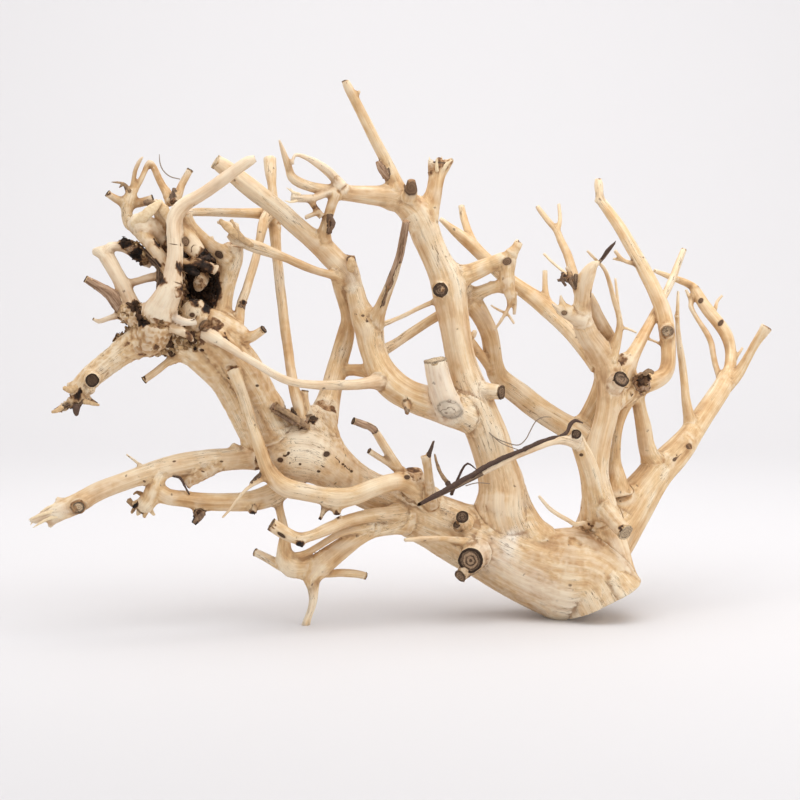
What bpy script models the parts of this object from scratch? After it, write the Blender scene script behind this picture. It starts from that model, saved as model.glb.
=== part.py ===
"""A driftwood root: one grown piece of peeled, weathered root wood, 0.52 m across.

The root stands on the rim of its sawn butt and on two root tips. Its branches are routes of points.
Each point is (across, up, depth, thickness) in millimetres, as seen from the front:
across and up lie in an upright sheet, depth runs away from the viewer through that sheet,
and thickness is how wide the wood looks there. placed() turns a point into its true place and size.
"""

import math

import bmesh
import bpy
import numpy as np

VIEW_DISTANCE = 1400.0
VIEW_TILT = math.radians(5.0)
FOOT = (112.0, -151.5, 5.0)

VOXEL = 0.00095
SMOOTH_STEPS = 2
TRIANGLES = 11500
THINNEST = 2.0
SAW_NORMAL = (0.437, 0.0, -0.8995)
SAW_SET_OUT = 0.0008

# The butt, the limbs that leave it and the knotted middle.
BODY = {
    "trunk": [
        (152, -162, 1, 58), (140, -138, 1, 59), (130, -125, 2, 62), (114, -121.7, 3, 63.6), (98, -118, 4, 55.5),
        (80, -111, 6, 50), (62, -102, 8, 46), (45, -94, 7, 43), (28, -86, 5, 39), (12, -79, 3, 35),
        (-3, -70, 1, 32), (-18, -64.5, -2, 28), (-34, -57, -8, 29), (-48, -47, -14, 34),
        (-62, -38, -18, 43), (-78, -36, -21, 42), (-92, -38, -24, 28)],
    "trunk_sweep": [
        (77, -62, 6, 22), (84, -78, 5, 20), (93, -95, 0, 24), (106, -107, -4, 30), (122, -113, -7, 36),
        (137, -124, -8, 39), (151, -138, -8, 38), (161, -152, -8, 38)],
    "trunk_hump": [
        (139, -80, 12, 24), (142, -92, 4, 27), (146.5, -105, 0, 27), (150.5, -118, 0, 26), (155.5, -132, 0, 26),
        (161, -146, 0, 26)],
    "hub_top": [(-58, -40, -16, 36), (-60, -26, -16, 34), (-63, -14, -18, 24), (-64, -6, -19, 12)],
    "hub_crown": [(-80, -34, -20, 34), (-84, -22, -22, 28), (-86, -10, -26, 22)],
    "hub_right": [(-40, -52, -11, 26), (-50, -36, -14, 24), (-53, -22, -15, 20), (-54, -10, -13, 18)],
    "left_arm": [
        (-88, -37, -22, 26), (-100, -38, -25, 20), (-110, -40, -28, 17.5), (-120, -41.3, -32, 15.8),
        (-135, -42.3, -37, 15.5), (-150, -44.5, -42, 15.5), (-160, -46.5, -46, 15), (-172, -49.5, -50, 14.5),
        (-185, -54, -55, 13.3), (-200, -59.5, -60, 13), (-213, -65, -64, 13.3), (-224, -71, -67, 14),
        (-234, -76, -70, 14), (-243, -79.5, -72, 11.5), (-251, -82, -73, 7), (-259.5, -84.5, -75, 2)],
    "left_arm_lower_splinter": [(-236, -79, -71, 9), (-243, -85, -72, 5.5), (-245.5, -89, -72, 2.5)],
    "left_arm_end_splinter": [(-246, -82, -73, 5), (-256, -86, -75, 2.2)],
    "left_arm_knot": [(-225, -73, -68, 12), (-225, -75, -75, 10)],
    "left_arm_end_knob": [(-236, -73, -70, 8), (-240.5, -68.5, -70, 2.6)],
    "left_arm_knob": [(-115, -35, -30, 7), (-117, -30.5, -31, 3)],
    "left_arm_twig": [(-177, -48, -52, 3), (-183, -44.5, -55, 2), (-191.5, -38, -57, 1.4)],
    "torn_web": [(-128, -44, -36, 13), (-140, -51, -40, 12), (-150, -58.5, -42, 8)],
    "torn_web_edge": [(-136, -46, -39, 12), (-148, -51, -40, 9), (-155, -54.5, -41, 4)],
    "arm_link": [
        (-168, -50, -50, 11), (-171, -57, -51, 11.5), (-172.5, -63, -51, 12), (-175, -69, -50, 12),
        (-178.5, -73, -49, 13), (-181, -75.5, -48, 9.5)],
    "arm_link_burr": [(-180, -74, -50, 7), (-184.5, -74.5, -50, 4), (-187.3, -74.7, -50, 1.6)],
    "lower_left_limb": [
        (-172, -62, -51, 11), (-163, -67.5, -49, 11.5), (-152, -69.3, -44, 11.3), (-140, -71, -40, 12),
        (-125, -71.5, -36, 12), (-110, -71, -32, 13.5), (-97, -69, -28, 15), (-86, -64, -22, 16),
        (-76, -54, -18, 18)],
    "lower_limb_knob": [(-140, -73, -40, 8), (-140.5, -79, -40, 8.5), (-142, -83, -40, 5.8), (-144, -86, -39, 4)],
    "lower_limb_nub": [(-103, -74, -34, 7), (-103, -79, -36, 5.5)],
    "front_curved_limb": [
        (20, -70, -6, 20), (12, -63, -15, 15), (2, -57.5, -25, 12.3), (-8, -58, -34, 12), (-20, -62, -40, 12.8),
        (-33, -67, -42, 13.3), (-45, -68.5, -43, 14.5), (-57, -66.5, -44, 12.3), (-69, -64, -45, 12.3),
        (-79, -61.5, -45, 13.5), (-87, -56.5, -45, 12.5), (-93, -48, -46, 10), (-97, -37, -48, 9.3),
        (-101, -25, -51, 8.5), (-105, -13, -53, 8), (-109, 0, -57, 8), (-113, 11, -59, 8.2), (-117, 21, -59, 9)],
    "under_limb_nub": [(-47, -70, -40, 12), (-52, -75, -41, 6.5), (-54, -79, -43, 3.4), (-56.3, -84, -44, 2.2)],
    "under_limb_peg": [(-45, -71, -40, 10), (-44, -80, -43, 5)],
    "front_stub": [
        (24, -84, 14, 16), (12, -80.5, 0, 14), (0, -79, -13, 11.5), (-10, -80, -22, 10.2),
        (-20, -80.7, -29, 9.3), (-35, -84, -38, 9),
        (-50, -90, -46, 8.6), (-61, -94.6, -50, 7.6), (-71, -96.8, -53, 8.4), (-79, -94, -54, 9.4),
        (-89.5, -87.5, -55, 9.4)],
    "front_stub_nub": [(-68, -98, -53, 5.5), (-70.3, -102, -54, 5)],
}

# The big limb that rises from the middle to the gnarled head at the left, and the head itself.
HEAD = {
    "big_limb": [
        (-80, -34, -21, 30), (-90, -16, -28, 28), (-97, -2, -33, 27), (-103, 10, -39, 27), (-110, 22, -44, 28),
        (-120, 34, -48, 29), (-131, 46, -51, 30)],
    "big_limb_edge": [
        (-97, -40, -26, 13), (-106, -24, -32, 13.5), (-113, -10, -36, 14), (-118.5, 1, -39, 15),
        (-125, 12, -43, 16), (-133, 21.5, -47, 17), (-143, 31, -51, 18), (-152, 38, -52, 20)],
    "head_right_wall": [
        (-119, 46, -49, 20), (-124, 60, -44, 14), (-123, 70, -43, 11.5), (-122, 80, -42, 13),
        (-120.5, 90, -41, 16),
        (-117.5, 99, -42, 16), (-115.5, 108.5, -45, 12)],
    "head_top_arch": [(-121, 100, -45, 14), (-130, 106.5, -50, 9.5), (-139, 114, -54, 8.5),
        (-146.5, 122, -57, 8.5),
                      (-150, 130, -60, 8)],
    "head_inner_curl": [(-158, 124, -60, 10), (-151, 115, -62, 13), (-145, 107.5, -63, 13.5),
                        (-140.5, 103, -63, 10.5)],
    "head_arch_rim": [(-155, 97, -65, 6), (-147, 96.5, -63, 5.5), (-137, 94.5, -60, 6), (-129, 91, -56, 8)],
    "head_back": [(-140, 44, -30, 30), (-142, 66, -20, 30), (-142, 86, -20, 30), (-138, 102, -28, 24)],
    "head_back_left": [(-158, 50, -39, 26), (-160, 72, -43, 20), (-160, 92, -47, 18), (-162, 112, -51, 16)],
    "head_dome": [(-142, 48, -50, 20), (-143, 60, -56, 19), (-143.3, 66, -59, 16), (-143.3, 69.5, -60, 10)],
    "hollow_tongue": [(-138, 85, -34, 9), (-140, 81.5, -44, 9.5), (-141.5, 79, -49, 7)],
    "inner_plate": [(-153, 93, -60, 5), (-147, 90.5, -60, 5.5), (-141, 88.5, -57, 4)],
    "lower_finger": [(-161, 51, -66, 7), (-153, 48, -70, 6.4), (-147.5, 44.5, -71, 4.8), (-145.5, 41, -70, 2.6)],
    "hollow_rim": [(-166, 63, -66, 6), (-158, 58, -68, 5.6), (-149, 54.3, -71, 5), (-143, 55, -70, 4.6)],
    "rough_mass": [(-126, 46, -52, 22), (-143, 41, -52, 20), (-158, 42, -53, 22), (-174, 43, -53, 22),
                   (-188, 40, -54, 20)],
    "rough_mass_top": [(-146, 52, -51, 14), (-160, 56, -57, 16), (-176, 56, -57, 20), (-188, 58, -56, 16)],
    "right_knob_branch": [
        (-140, 56, -52, 16), (-131, 56, -53, 15), (-122, 51.8, -54, 14.5), (-113, 47.2, -54, 12.5),
        (-106.5, 44, -54, 9), (-101, 45.7, -56, 6.8), (-95.8, 49.3, -58, 5.8)],
    "right_knob_peg": [(-111, 43, -54, 4.5), (-110.5, 39, -54, 3.2), (-110, 34.5, -54, 2.2)],
    "behind_rod": [
        (-114, 50, -50, 9), (-112.5, 57, -46, 7.5), (-111.5, 66, -39, 6.8), (-108, 76, -31, 6.2),
        (-105, 86, -23, 6.1), (-101.3, 98, -14, 5.8), (-98, 112, 0, 6), (-95, 125, 15, 8), (-90, 132, 24, 9)],
    "behind_rod_flap": [(-112, 62, -42, 6), (-110, 67.5, -42, 4), (-107, 68.3, -42, 1.6)],
    "white_branch": [
        (-172, 44, -52, 20), (-171.5, 53, -60, 23), (-168, 63, -67, 22), (-163, 73, -71, 18.5),
        (-159.7, 82, -72, 14.6), (-158.3, 92, -72, 12.3), (-157.3, 103, -72, 11.3), (-158, 114, -71, 10.7),
        (-158.5, 124, -69, 11.3), (-155.5, 132, -68, 11.3), (-149.5, 137.8, -68, 9.8),
        (-141, 142.5, -68, 9), (-132, 148.5, -68, 9), (-122, 155.7, -69, 8.6), (-113, 162.2, -69, 8.2),
        (-106, 167, -69, 7.4), (-101.5, 169, -69, 5)],
    "white_branch_knot": [(-159, 77, -72, 12), (-155.5, 76, -75, 9)],
    "cluster_node": [(-178, 58, -62, 16), (-187, 60, -62, 16), (-192.5, 61.5, -60, 12)],
    "white_loop": [
        (-186, 62, -61, 12), (-190.5, 72, -60, 11), (-195, 82, -60, 10.3), (-200, 91, -59, 10.3),
        (-205, 99, -57, 10.8), (-209.5, 103.6, -57, 8.4), (-214, 103.5, -55, 5.2)],
    "white_loop_top": [
        (-207, 101, -57, 8), (-202.5, 107, -57, 7.4), (-195, 107, -56, 6.4), (-188.5, 104, -55, 6.8),
        (-181, 100, -54, 8.5), (-174, 96, -51, 8)],
    "bark_lump": [(-195, 112, -58, 5), (-190, 108.5, -58, 7), (-184, 104, -56, 9), (-181, 98, -56, 8)],
    "brown_twig": [
        (-193, 61, -60, 9), (-197.5, 67, -61, 9), (-203, 74, -63, 8.6), (-210, 79, -64, 6.8),
        (-219.5, 84.5, -65, 5)],
    "left_tip": [(-194, 60, -60, 6), (-200, 58.5, -61, 4.5), (-206, 56.5, -62, 3.6), (-211, 55, -62, 3.1),
                 (-214.5, 56.6, -63, 2)],
    "rung": [(-191, 81.3, -59, 6), (-182, 83.8, -59, 5.2), (-174, 86, -58, 6), (-164, 87, -57, 7)],
    "rung_peg": [(-167, 92, -58, 6), (-168, 84, -60, 4.8), (-170, 76, -62, 2)],
    "dark_brace": [(-179, 105, -56, 5), (-171, 97, -55, 6), (-164, 88, -54, 6)],
    "tan_lobe": [(-182, 119, -59, 11), (-178.5, 114, -62, 10), (-174, 108.5, -64, 9.3), (-169, 102, -65, 9),
                 (-165, 96, -64, 8.6), (-162, 90, -62, 7)],
    "pale_knob": [(-187, 126, -56, 9), (-182.5, 123.5, -58, 14.5), (-178, 121, -59, 16), (-172, 118, -57, 13),
                  (-166, 112, -54, 11)],
    "pale_knob_arm": [(-184, 125, -54, 8), (-178, 129, -55, 6), (-174, 134, -57, 4.4), (-170.3, 139.8, -57, 4)],
    "upper_lobe": [(-170.5, 139, -56, 5), (-169, 132, -56, 7.8), (-166, 127, -56, 8.4), (-163, 121, -57, 8)],
    "head_link": [(-172, 114, -53, 8), (-165, 118, -55, 8), (-160, 124, -58, 9)],
    "twig_stem": [
        (-178, 114, -54, 9), (-186, 120, -52, 7.8), (-190.5, 124, -50, 7), (-191.3, 131, -49, 7.6),
        (-190, 139, -48, 9.7), (-187.3, 146, -48, 7.6), (-184, 150.3, -47, 4.8), (-181, 155, -47, 3.8),
        (-178.3, 161, -46, 3.8), (-175.5, 166, -46, 4.3), (-172.5, 163, -45, 4.6), (-170, 157.5, -46, 5),
        (-166.5, 150.5, -47, 5.6), (-163, 144.5, -50, 7), (-160, 138, -53, 9)],
    "twig_tall": [(-187.5, 147, -48, 4.4), (-186.4, 154, -49, 3.3), (-185.5, 160, -50, 3.1), (-183, 166, -52, 3),
                  (-180, 170.5, -53, 1.2)],
    "twig_bark": [(-190, 145, -48, 4), (-192.5, 150.5, -49, 2.8), (-196, 152, -50, 1.9)],
    "twig_left": [(-190, 137, -48, 8), (-196, 139.3, -49, 6.2), (-201, 142, -49, 5.2), (-204.3, 144.3, -49, 4.8)],
    "twig_foot": [(-190, 127, -50, 7), (-190.6, 121.5, -51, 4)],
    "brown_peg": [(-188, 137, -48, 6), (-180, 138.5, -46, 6.4), (-173.5, 140.5, -45, 6.2)],
    "tan_twig": [(-158, 138, -57, 8), (-155, 145, -53, 6.2), (-152.5, 151, -50, 5.2), (-147.3, 160.5, -48, 4.6)],
    "dark_peg": [(-158.5, 138, -59, 6), (-158.3, 148.5, -55, 2.4)],
    "finger": [(-129, 104, -46, 6), (-131.5, 110, -45, 4.6), (-132.7, 114.5, -45, 3.6)],
    "snout": [
        (-166, 44, -56, 20), (-180, 42, -57, 22), (-192, 35.5, -57, 19), (-201, 28.5, -59, 17.5),
        (-210, 21.5, -60, 16.5), (-218, 14.5, -62, 15.5), (-224, 8, -63, 13), (-226, 2, -64, 10.5)],
    "snout_tip": [(-224, 2, -64, 8), (-231, -2.5, -65, 6.6), (-237, -5.8, -66, 5.3), (-242.5, -8, -68, 2)],
    "snout_peg": [(-224, 0, -64, 7), (-226, -4, -65, 5), (-226.6, -9.3, -65, 3.8)],
    "snout_flare": [(-223, 2, -64, 7), (-217, -0.5, -63, 4.4), (-212, -2.8, -63, 2.2)],
    "snout_lip": [(-219, 10, -64, 9), (-216.5, 5, -66, 6.5)],
    "snout_burr": [(-227, 9, -63, 7), (-233, 10.5, -63, 3.6)],
    "snout_knot": [(-215.5, 15, -64, 11), (-215.5, 14, -73, 9)],
    "thin_peg": [(-154, 31, -54, 9), (-162, 26.8, -54, 5.4), (-170, 20.5, -54, 5.1), (-178.7, 14.2, -53, 5)],
    "drip": [(-173, 36, -54, 6), (-174, 30, -54, 2.4)],
    "drip_right": [(-160, 33, -53, 8), (-158.5, 26, -53, 4)],
}

# The limbs and rods that run up and across in the left half.
RODS = {
    "tall_rod": [
        (-91, 168.7, 53, 8.8), (-90.6, 160, 49, 8.4), (-89.6, 150, 44, 6.2), (-88.6, 138, 40, 7),
        (-88, 125, 36, 8.6),
        (-86.6, 105, 26, 7.2), (-85.3, 92, 19, 7), (-84, 80, 11, 7), (-82.2, 65, 0, 7), (-80.4, 50, -9, 7),
        (-78.3, 35, -18, 7), (-76.3, 20, -28, 7), (-73.5, 5, -34, 7.6), (-71, -5, -37, 7.5),
        (-69.5, -13, -37, 6.5)],
    "cross_rod": [
        (-87, 124, 34, 10), (-94, 129.3, 31, 9.4), (-102, 130.8, 24, 7.2), (-115, 131, 12, 6.3),
        (-130, 131.4, -6, 6), (-142, 131.5, -22, 5.8), (-150, 130.8, -36, 6), (-158, 128, -53, 8)],
    "hub_peg": [(-65, -10, -31, 8), (-67, 0, -31, 6.4), (-66.5, 6, -31, 5)],
    "hub_bark": [(-66, -16, -35, 7), (-76, -12, -40, 6), (-82, -8.5, -43, 6), (-86.8, -5.3, -44, 6)],
    "hub_bark_peg": [(-73, -12, -40, 3.4), (-76, -5.5, -44, 2.2)],
    "thick_limb": [
        (-33, 80, -8, 13), (-38, 90, -9, 14.5), (-46, 98, -10, 16.5), (-54, 106.3, -11, 15.5),
        (-63, 114, -13, 14), (-72, 122, -14, 13.5), (-82, 131, -16, 13.5), (-92, 138.8, -17, 13.5),
        (-101, 146, -19, 13.8), (-109, 152.2, -20, 13.2), (-117, 158.3, -20, 12), (-124, 163.4, -21, 11.5),
        (-128.5, 166.4, -22, 10)],
    "bridge_twig": [(-45, 145, -20, 8), (-48, 136, -20, 7), (-50.3, 128, -18, 7), (-52.5, 120, -17, 8.5),
                    (-54, 110, -13, 12)],
    "bridge_bark": [(-49, 129, -21, 3.4), (-49, 122, -22, 3.8), (-49, 116.5, -21, 3)],
    "bridge_branch": [(-63, 140, -26, 4), (-59, 134, -24, 4.4), (-55, 128.5, -22, 5)],
    "bridge_branch_end": [(-57, 131.5, -24, 3.6), (-62, 129.5, -26, 3.2), (-66.5, 127.5, -27, 3)],
    "gnarled_branch": [
        (-38, 82, -9, 9), (-45, 86.8, -14, 7), (-52, 88.6, -20, 5.8), (-60, 91, -26, 5.7), (-70, 95, -32, 6.3),
        (-80, 99.4, -39, 6.1), (-90, 103.3, -46, 7.6), (-98, 106.4, -50, 8.6), (-106, 109, -54, 8.2),
        (-112, 112, -56, 7.6), (-116, 117, -58, 7.6), (-118, 121.3, -58, 7), (-122, 123, -59, 4.6),
        (-128.3, 124.6, -59, 1.6)],
    "gnarled_shoulder": [(-116, 118, -58, 7), (-114.5, 123.6, -57, 4)],
    "gnarled_spur": [(-109, 110, -57, 5.5), (-116, 110.8, -57, 4.2), (-120.6, 115, -57, 2.4)],
    "second_limb": [
        (59, -19, 5, 18), (48, -11.5, -4, 22.5), (40, -8, -7, 24), (28, -3.5, -7, 24), (15, 0, -7, 22.3),
        (5, 4, -7, 21.3),
        (-5, 10.5, -6, 21.3), (-13, 20, -5, 20), (-17.5, 30, -4, 18.5), (-20.5, 40, -4, 19.2),
        (-22, 50, -5, 20.5), (-25.5, 58, -5, 19), (-28.8, 66, -7, 15), (-31, 74, -7, 13.3),
        (-33, 82, -8, 12.7), (-34, 90, -9, 11), (-34.3, 96, -10, 8), (-34.2, 101, -10, 5.4)],
    "second_limb_peg": [(5, -2, -16, 6), (5, -9.6, -20, 3)],
    "dark_strip": [
        (-19, 48, -6, 14), (-16.5, 57, -10, 11), (-13.5, 64.8, -14, 8.8), (-10.5, 72, -18, 7.6),
        (-7.5, 80, -23, 7),
        (-4.7, 87, -27, 6.6), (-2, 95, -32, 5.9), (0.6, 105, -37, 5.7), (2.5, 115, -42, 5.6),
        (4.2, 125, -48, 5.5)],
    "strand": [
        (-45.5, 86, -12, 6.5), (-43.3, 78, -8, 6.7), (-40.2, 69, -1, 7.2), (-38, 61, 3, 7.2), (-37, 55, 7, 9),
        (-37.5, 49, 11, 11.5), (-39, 41, 13, 13.2), (-41.5, 32, 12, 13.5), (-44.5, 22, 9, 13.8),
        (-47.5, 10, 2, 14.5), (-50.5, -2, -4, 16.5), (-54, -14, -11, 20)],
    "strand_web": [(-42, 20, 8, 8), (-33, 21, 5, 8), (-22, 20, 0, 10)],
    "thin_arm": [
        (-12, 13, -11, 12), (-22, 12, -18, 8.6), (-30, 10.8, -24, 7.4), (-42, 10.4, -33, 6.9),
        (-56, 10.4, -41, 6.4),
        (-70, 11.5, -48, 5.8), (-80, 14, -52, 5.7), (-90, 19, -58, 5.6), (-100, 25, -63, 5.4),
        (-110, 31, -66, 5.8),
        (-120, 37.3, -67, 6.5), (-128, 42.3, -67, 7.8), (-137, 47, -62, 9)],
}

# The upright central limb with its arms.
CENTRE = {
    "central_limb": [
        (95, -123, 12, 24), (85, -106, 8, 28), (76, -90, 2, 31), (71.5, -76, 0, 33), (71.5, -62, 2, 31),
        (67.5, -44, 1, 27.5),
        (62.5, -27, 0, 28),
        (56, -9, 0, 26), (48.5, 9, 0, 23.5), (43, 25, 0, 21.3), (40, 38, -1, 20.4), (38, 50, -1, 21),
        (36.5, 60, 0, 22), (35, 70, 0, 23), (33.5, 80, 0, 23), (30, 90, 0, 21), (25.3, 100, 0, 19.5),
        (20.8, 110, 0, 19.6), (16.7, 120, -2, 20), (11.5, 130, -3, 21), (3.5, 138, -5, 18.5),
        (-8, 142, -7, 15.5), (-20, 143.4, -10, 13.3), (-32, 144.3, -13, 11.5), (-44, 145.5, -16, 10.5),
        (-53, 147, -19, 8), (-62, 149.2, -22, 7.3), (-70, 152, -24, 7.2), (-75.7, 156, -27, 6.6),
        (-77.5, 161, -28, 5.4), (-79, 166, -30, 4.9), (-81.7, 174, -33, 3.8), (-84.6, 182, -35, 1.3)],
    "central_back_strand": [(103, -112, 12, 30), (93, -94, 16, 19), (86.5, -82, 16, 16), (79, -68, 12, 17)],
    "splintered_fork": [(15, 122, -1, 20), (20.5, 134, -1, 15), (23.7, 145, -1, 11.8), (25.3, 154, 0, 11),
                        (26.6, 160, 1, 11.6), (27, 165, 1, 11)],
    "splinter_left": [(24, 156, 0, 8), (22.3, 163, 0, 6), (20.6, 168.3, 0, 2.4)],
    "splinter_mid": [(27, 158, 2, 9), (27.5, 165, 3, 7), (27.5, 169.3, 3, 3.6)],
    "splinter_right": [(27, 157, 3, 9), (32, 164, 3, 7.4), (36.8, 168.5, 3, 3)],
    "up_twig": [
        (0, 138, -5, 16), (-3.5, 150, -6, 13), (-6.3, 159, -8, 9.8), (-11, 169.5, -10, 8.3), (-16, 179, -13, 7.7),
        (-21, 189, -15, 7.5), (-26, 199, -17, 7.1), (-31, 209, -19, 6.9), (-35.5, 217.5, -22, 6.6),
        (-38.3, 223.3, -23, 5.2)],
    "up_twig_burr": [(-31.5, 213, -20, 4.4), (-28, 216.3, -21, 2)],
    "up_twig_bark": [(-9, 157, -10, 7), (-13.5, 162.5, -13, 5), (-15.8, 166.8, -15, 3.4)],
    "dark_stub": [(6, 139, -10, 9), (7.5, 146.5, -17, 9.4), (8, 153.6, -21, 5.6)],
    "curl_twig": [
        (-41, 149, -19, 9), (-46, 155.5, -20, 6.8), (-52, 161.5, -22, 6.6), (-58, 165.6, -24, 5.6),
        (-64, 169, -26, 4), (-70, 171.3, -28, 2.8), (-73.5, 171.3, -30, 2.3), (-75, 168, -31, 1.9),
        (-74.6, 164.8, -32, 1.4)],
    "split_end": [(-45, 147, -20, 7), (-52, 144.5, -22, 5.2), (-60, 141.5, -25, 5.2), (-68, 141, -28, 5.6),
                  (-76, 141.6, -31, 5.4)],
    "split_end_splinter": [(-73, 143, -30, 3), (-77, 148.2, -31, 1.1)],
    "central_knot": [(28.5, 77, -3, 12), (28.3, 77, -12, 9.2)],
    "right_branch": [
        (33, 83, 2, 18), (42, 86.5, 3, 15.3), (50, 89, 4, 13.3), (57, 92, 3, 12.3), (64, 95, 3, 11),
        (71, 97.7, 2, 10.6), (76.3, 100.3, 2, 9.6), (80, 105, 1, 7.4), (82.7, 109.5, 1, 4.6)],
    "right_branch_horn": [(81, 106, 1, 6), (82, 112.5, 1, 1.8)],
    "right_branch_snag": [(82, 107, 1, 6), (85.3, 109.5, 0, 1.8)],
    "gnarl": [(75, 98, 2, 13), (75, 90, 2, 10.6), (75, 83, 2, 11.2), (76, 77, 2, 9.2), (77, 72, 1, 6.4),
              (76.5, 66, 2, 3.1), (74, 61, 2, 2.5), (71, 56, 2, 2.4), (66, 48.6, 3, 1.4)],
    "gnarl_sliver": [(77, 76, 2, 7), (80.5, 70, 2, 3), (80.2, 65, 2, 2.8), (79.8, 59.5, 2, 2)],
    "gnarl_spike": [(79.5, 71, 2, 3), (82, 75.5, 2, 1.6)],
    "crossing_twig": [(63.5, 66.5, 6, 1.3), (68, 63.5, 6, 1.6), (74.5, 60.5, 3, 2.2), (77.3, 57.5, 3, 2),
                      (80, 53.3, 3, 1.7)],
    "lower_loop": [(40, 69, 9, 14), (50, 72.7, 12, 10.3), (57, 75.6, 10, 9), (64, 78.2, 7, 8.5),
        (73, 80.5, 3, 9)],
    "lower_loop_burr": [(63, 80, 8, 5), (64, 83, 7, 2)],
    "back_bow": [
        (43, 76, 13, 16), (52, 66, 17, 14.5), (58, 56.5, 22, 13), (62.3, 46.5, 28, 12.3), (64.3, 36, 33, 12.3),
        (65.6, 26, 39, 12.8), (68.5, 17, 45, 14.2), (75, 10.5, 48, 15.5), (84, 3.8, 48, 16.3), (94, -4, 47, 16.5),
        (106, -12, 42, 16.5), (118, -19.5, 36, 16.5), (130, -28, 28, 17), (137, -40, 20, 17)],
    "chip": [(47, 43, 2, 5), (51.5, 45.5, -1, 4.2), (52.3, 49, -2, 2.6)],
    "pale_strand": [(46, 44, 10, 9), (52, 37, 19, 6.8), (58, 29.5, 30, 6.8), (65, 21, 41, 9)],
    "side_stub": [(46, 6, -2, 13), (55, 6.8, -5, 11.3), (63, 6.2, -8, 10.6), (70.3, 5.4, -12, 10)],
    "cut_block": [(35, -8, -16, 17), (30.5, 5, -19, 16.3), (27, 16, -20, 16), (25, 26.8, -22, 15.6)],
    "upper_crossing": [(-18, 51, -4, 5), (-6, 55.3, -1, 3.3), (4, 59.7, 0, 3.1), (14, 64.7, 2, 3.1),
                       (28, 70.6, 2, 4)],
    "lower_crossing": [(-18, 31, 0, 9), (-4, 39, 8, 7), (5, 45, 11, 6.6), (14, 51, 13, 6.6), (22, 56.3, 13, 6.6),
                       (34, 63, 10, 7)],
    "far_knob": [(-18, 56, 6, 8), (-10, 62, 20, 7), (-4.5, 66, 30, 7.4), (-0.5, 67, 33, 5)],
    "far_knob_twig": [(-1.5, 68, 33, 2.6), (2, 72.5, 35, 1.6), (6, 75, 36, 1.2)],
}

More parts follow.
